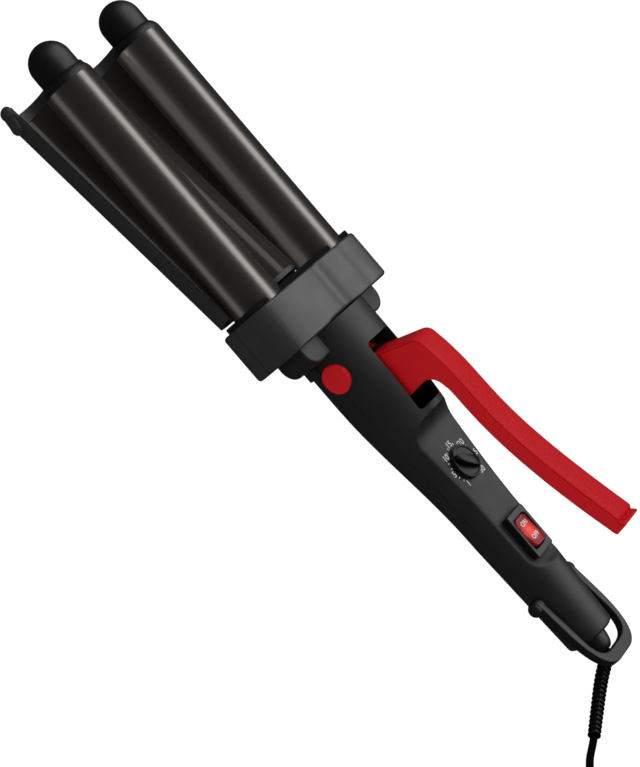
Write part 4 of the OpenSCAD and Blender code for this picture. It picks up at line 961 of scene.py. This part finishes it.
# Painted glow: the emission is strongest at the rocker's middle and fades out 6 mm away; it is painted light,
# not a lamp.
painted_glow_r = 6
painted_glow_at = handle_place @ Vector((switch_x, 0, panel_z + 3)) * 1000
tree = red_with_painted_glow.node_tree
middle = add(tree, "ShaderNodeMapping", [("Location", -painted_glow_at / painted_glow_r), ("Scale", (1 / painted_glow_r,) * 3)],
    [("Vector", tree.nodes["Mapping"].outputs[0])])
painted_glow_ball = add(tree, "ShaderNodeTexGradient", feeds=[("Vector", middle.outputs[0])], gradient_type="SPHERICAL")
painted_glow_strength = add(tree, "ShaderNodeMapRange", [("To Min", 0.0), ("To Max", 0.8)], [("Value", painted_glow_ball.outputs["Fac"])])
tree.links.new(painted_glow_strength.outputs[0], tree.nodes["Principled BSDF"].inputs["Emission Strength"])
bezel_h, rocker_drop, rocker_tilt = 3.9, 1.8, 7
bezel_top = panel_z + bezel_h
bezel_rings = []
for half_x, half_y, corner, z in [(11.5, 7.5, 1.2, panel_z), (11.5, 7.5, 1.2, bezel_top - 0.5),
        (11.35, 7.35, 1.1, bezel_top - 0.15), (11.0, 7.0, 1.0, bezel_top), (8.55, 5.95, 2.4, bezel_top),
        (8.35, 5.75, 2.3, bezel_top - 0.1), (7.9, 5.3, 2.1, bezel_top - 0.7), (7.9, 5.3, 2.1, 4.8),
        (9.9, 6.3, 1.0, 4.8), (9.9, 6.3, 1.0, panel_z)]:
    bezel_rings.append([(switch_x + x, y, z)
        for y, x in rounded_box(half_y, -half_x, half_x, corner, corner, 6)])
switch_box = block(switch_x - 9.9, switch_x + 9.9, -6.3, 6.3, panel_z - 11, 4.7)
make("switch_bezel", joined(loft(bezel_rings, True), switch_box), handle_place, bezel_plastic, "body",
    ["switch_body"], sharp=30)

rocker_half, rocker_w, rocker_round, rocker_crown, rocker_dish = 7.5, 10.0, 2.0, 1.7, 0.9
rocker_rings = []
for i in range(41):
    x = -rocker_half * cos(pi * i / 40)
    far = abs(x)
    beyond = max(0, far - (rocker_half - rocker_round))
    wide = rocker_w / 2 - rocker_round + sqrt(max(0, rocker_round ** 2 - beyond ** 2))
    wide = max(wide, 0.3 + rocker_w / 2 - rocker_round)
    top = rocker_crown + rocker_dish * (far / rocker_half) ** 1.5 - 0.25 * (beyond / rocker_round) ** 3
    low = -3.6 if far < 2 else -3.6 + 0.8 * (far - 2) if far < 4.5 else min(-1.6 + 0.93 * (far - 4.5), 1.1)
    edge = [(wide, low), (wide, top - 0.6), (wide - 0.2, top - 0.2), (wide - 0.65, top)]
    rocker_rings.append([(x, y, z) for y, z in edge + [(0, top - 0.05)] + [(-y, z) for y, z in edge[::-1]]])
rocker_place = (handle_place @ Matrix.Translation((switch_x, 0, bezel_top - rocker_drop))
    @ Matrix.Rotation(radians(rocker_tilt), 4, "Y"))
axle = across(rod(-5.5, 5.5, 1.2, 24))
make("rocker", joined(loft(rocker_rings), axle), rocker_place, red_with_painted_glow, "rocker", ["rocker"])
white_ink = paint("pad_printed_white_ink", "f2f0ee", 0.5, 0.15, 0.004, "f6f4f2", "e8e4e2", (0.45, 0.6))
for text, along in (("ON", 3.9), ("OFF", -3.4)):
    share = abs(along) / rocker_half
    face = Vector((along, 0, rocker_crown + rocker_dish * share ** 1.5 + 0.06))
    p = Matrix.Rotation(radians(rocker_tilt), 3, "Y") @ face
    lean = degrees(atan(rocker_dish * 1.5 * share ** 0.5 / rocker_half)) * (-1 if along > 0 else 1)
    printed("legend_" + text.lower(), text, 3.3, switch_x + p.x, 0, bezel_top - rocker_drop + p.z,
        rocker_tilt + lean, white_ink, "rocker")

# ---------- Hanging loop ----------
# A flat moulded nylon strap bent round the tail, hinged on two headed pins pressed into the handle.
# Nylon comes from the mould with a fine, dull skin that takes a faint sheen.

nylon = paint("moulded_nylon", "161617", 0.44, 0.3, 0.008, "161617", "111112", (0.4, 0.5), IOR=1.53)
loop_x, loop_len, loop_half, loop_bar, loop_end_bar, loop_t = -136.4, 43.2, 18.8, 4.2, 6.2, 4.6
loop_offset, loop_raise, knuckle_r, pin_r, head_r, head_t = 1.4, 7.5, 3.8, 1.5, 3.4, 2.1
loop_in, end_in = loop_half - loop_bar, loop_end_bar - loop_len
outer = [(0, loop_half)]
outer += cubic((-18, loop_half), (-28, loop_half - 0.3), (-loop_len, 16.6), (-loop_len, 5), 40)
inner = [(1, loop_in)] + cubic((-20, loop_in), (-28, loop_in), (end_in, 15), (end_in, 4), 40)
outer += [(x, -y) for x, y in outer[::-1]]
inner += [(x, -y) for x, y in inner[::-1]]
loop_rings = []
for (ox, oy), (ix, iy) in zip(outer, inner):
    a, b = Vector((ox, oy)), Vector((ix, iy))
    mid, way, wide = (a + b) / 2, (a - b).normalized(), (a - b).length / 2
    loop_rings.append([(mid.x + way.x * w, mid.y + way.y * w, loop_offset + z)
        for w, z in rounded_box(wide, -loop_t / 2, loop_t / 2, 0.9, 0.9, 4)])
knuckle = across(turned([(loop_in, 1.6), (loop_in, knuckle_r - 0.4), (loop_in + 0.4, knuckle_r),
    (loop_half - 0.6, knuckle_r), (loop_half - 0.15, knuckle_r - 0.2), (loop_half, knuckle_r - 0.6),
    (loop_half, 1.6)], 48, True))
pins_place = handle_place @ Matrix.Translation((loop_x, 0, 0))
loop_place = pins_place @ Matrix.Rotation(radians(loop_raise), 4, "Y")
make("hanger", joined(loft(loop_rings), twin(knuckle)), loop_place, nylon, "loop",
    ["hanging_loop"], sharp=40)
head_x = loop_half + 0.1
pins = across(turned([(9.5, 0), (9.5, pin_r), (head_x, pin_r), (head_x, head_r)]
    + bend(head_x, 0, head_r * 0.62, head_r, range(9, 90, 9)) + [(head_x + head_t, 0)], 48))
make("hanger_pins", twin(pins), pins_place, nylon, "body", ["loop_pins"], sharp=40)

# ---------- Cord swivel ----------
# A domed nylon nose, moulded like the loop, that turns in the tail, so that the cord doesn't twist in use.
# A groove round its hidden shaft takes the clip that keeps it there.

nose_len, nose_r, nose_end_r = 9.0, 6.4, 3.3
bore_r, groove_r, shaft_r = 2.55, 4.3, 5
nose_profile = [(-157.7, bore_r), (-157.7, 4.4), (-158.3, shaft_r), (-159.75, shaft_r), (-159.75, groove_r),
    (-160.75, groove_r), (-160.75, shaft_r), (tail_x - 0.1, shaft_r), (tail_x - 0.1, nose_r - 0.2),
    (tail_x - 0.35, nose_r)] + bend(tail_x - 0.35, nose_end_r, 0.25 - nose_len, nose_r - nose_end_r,
    range(6, 91, 6)) + [(tail_x - 0.1 - nose_len, bore_r)]
make("swivel", turned(nose_profile, 72, True), handle_place, nylon, "swivel",
    ["swivel_nose"], sharp=40)

# ---------- What is inside ----------
# Screws, pin, spring and clip are zinc plated or black steel, the jaw arm black, the heat cores cast
# aluminium.
# The mounts are mica filled resin, and the board is green solder masked laminate.

# The zinc is bright and even, and the castings are coarser and duller. What is black hardly shines: it is
# painted shade, so that the arm, pin, spring and screws in the lever's slot show as dark as shade.
zinc = paint("zinc_plated_steel", "9a9da1", 0.3, 0.25, 0.004, "a3a6aa", "8e9196", (0.25, 0.4), Metallic=1.0)
black_steel_painted_shade = paint("black_painted_shade_steel", "0b0b0c", 0.5, 0.3, 0.006, "0e0e0f", "090909", (0.45, 0.6))
cast = paint("cast_aluminium", "a9abae", 0.45, 0.4, 0.02, "b0b2b5", "9c9ea1", (0.38, 0.55), Metallic=1.0)
mica = paint("mica_filled_resin", "cfc4a8", 0.6, 0.5, 0.02, "d6ccb2", "c2b698", (0.5, 0.7))
board = paint("solder_masked_board", "1f5a34", 0.35, 0.4, 0.01, "226138", "1b5130", (0.3, 0.45))
for finish, names in [(zinc, "mount_screws collar_screws tray_screws dial_shaft swivel_clip"),
        (black_steel_painted_shade, "handle_screws lever_screws jaw_arm pivot_pin hinge_spring"),
        (cast, "heat_core_left heat_core_right barrel_heater_left barrel_heater_right plate_heater"),
        (mica, "barrel_mount_left barrel_mount_right pivot_spacer"), (board, "circuit_board"),
        (tip_plastic, "dial_control cord_clamp")]:
    for name in names.split():
        dress(frame["nodes"][name].data, finish)

low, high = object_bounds()
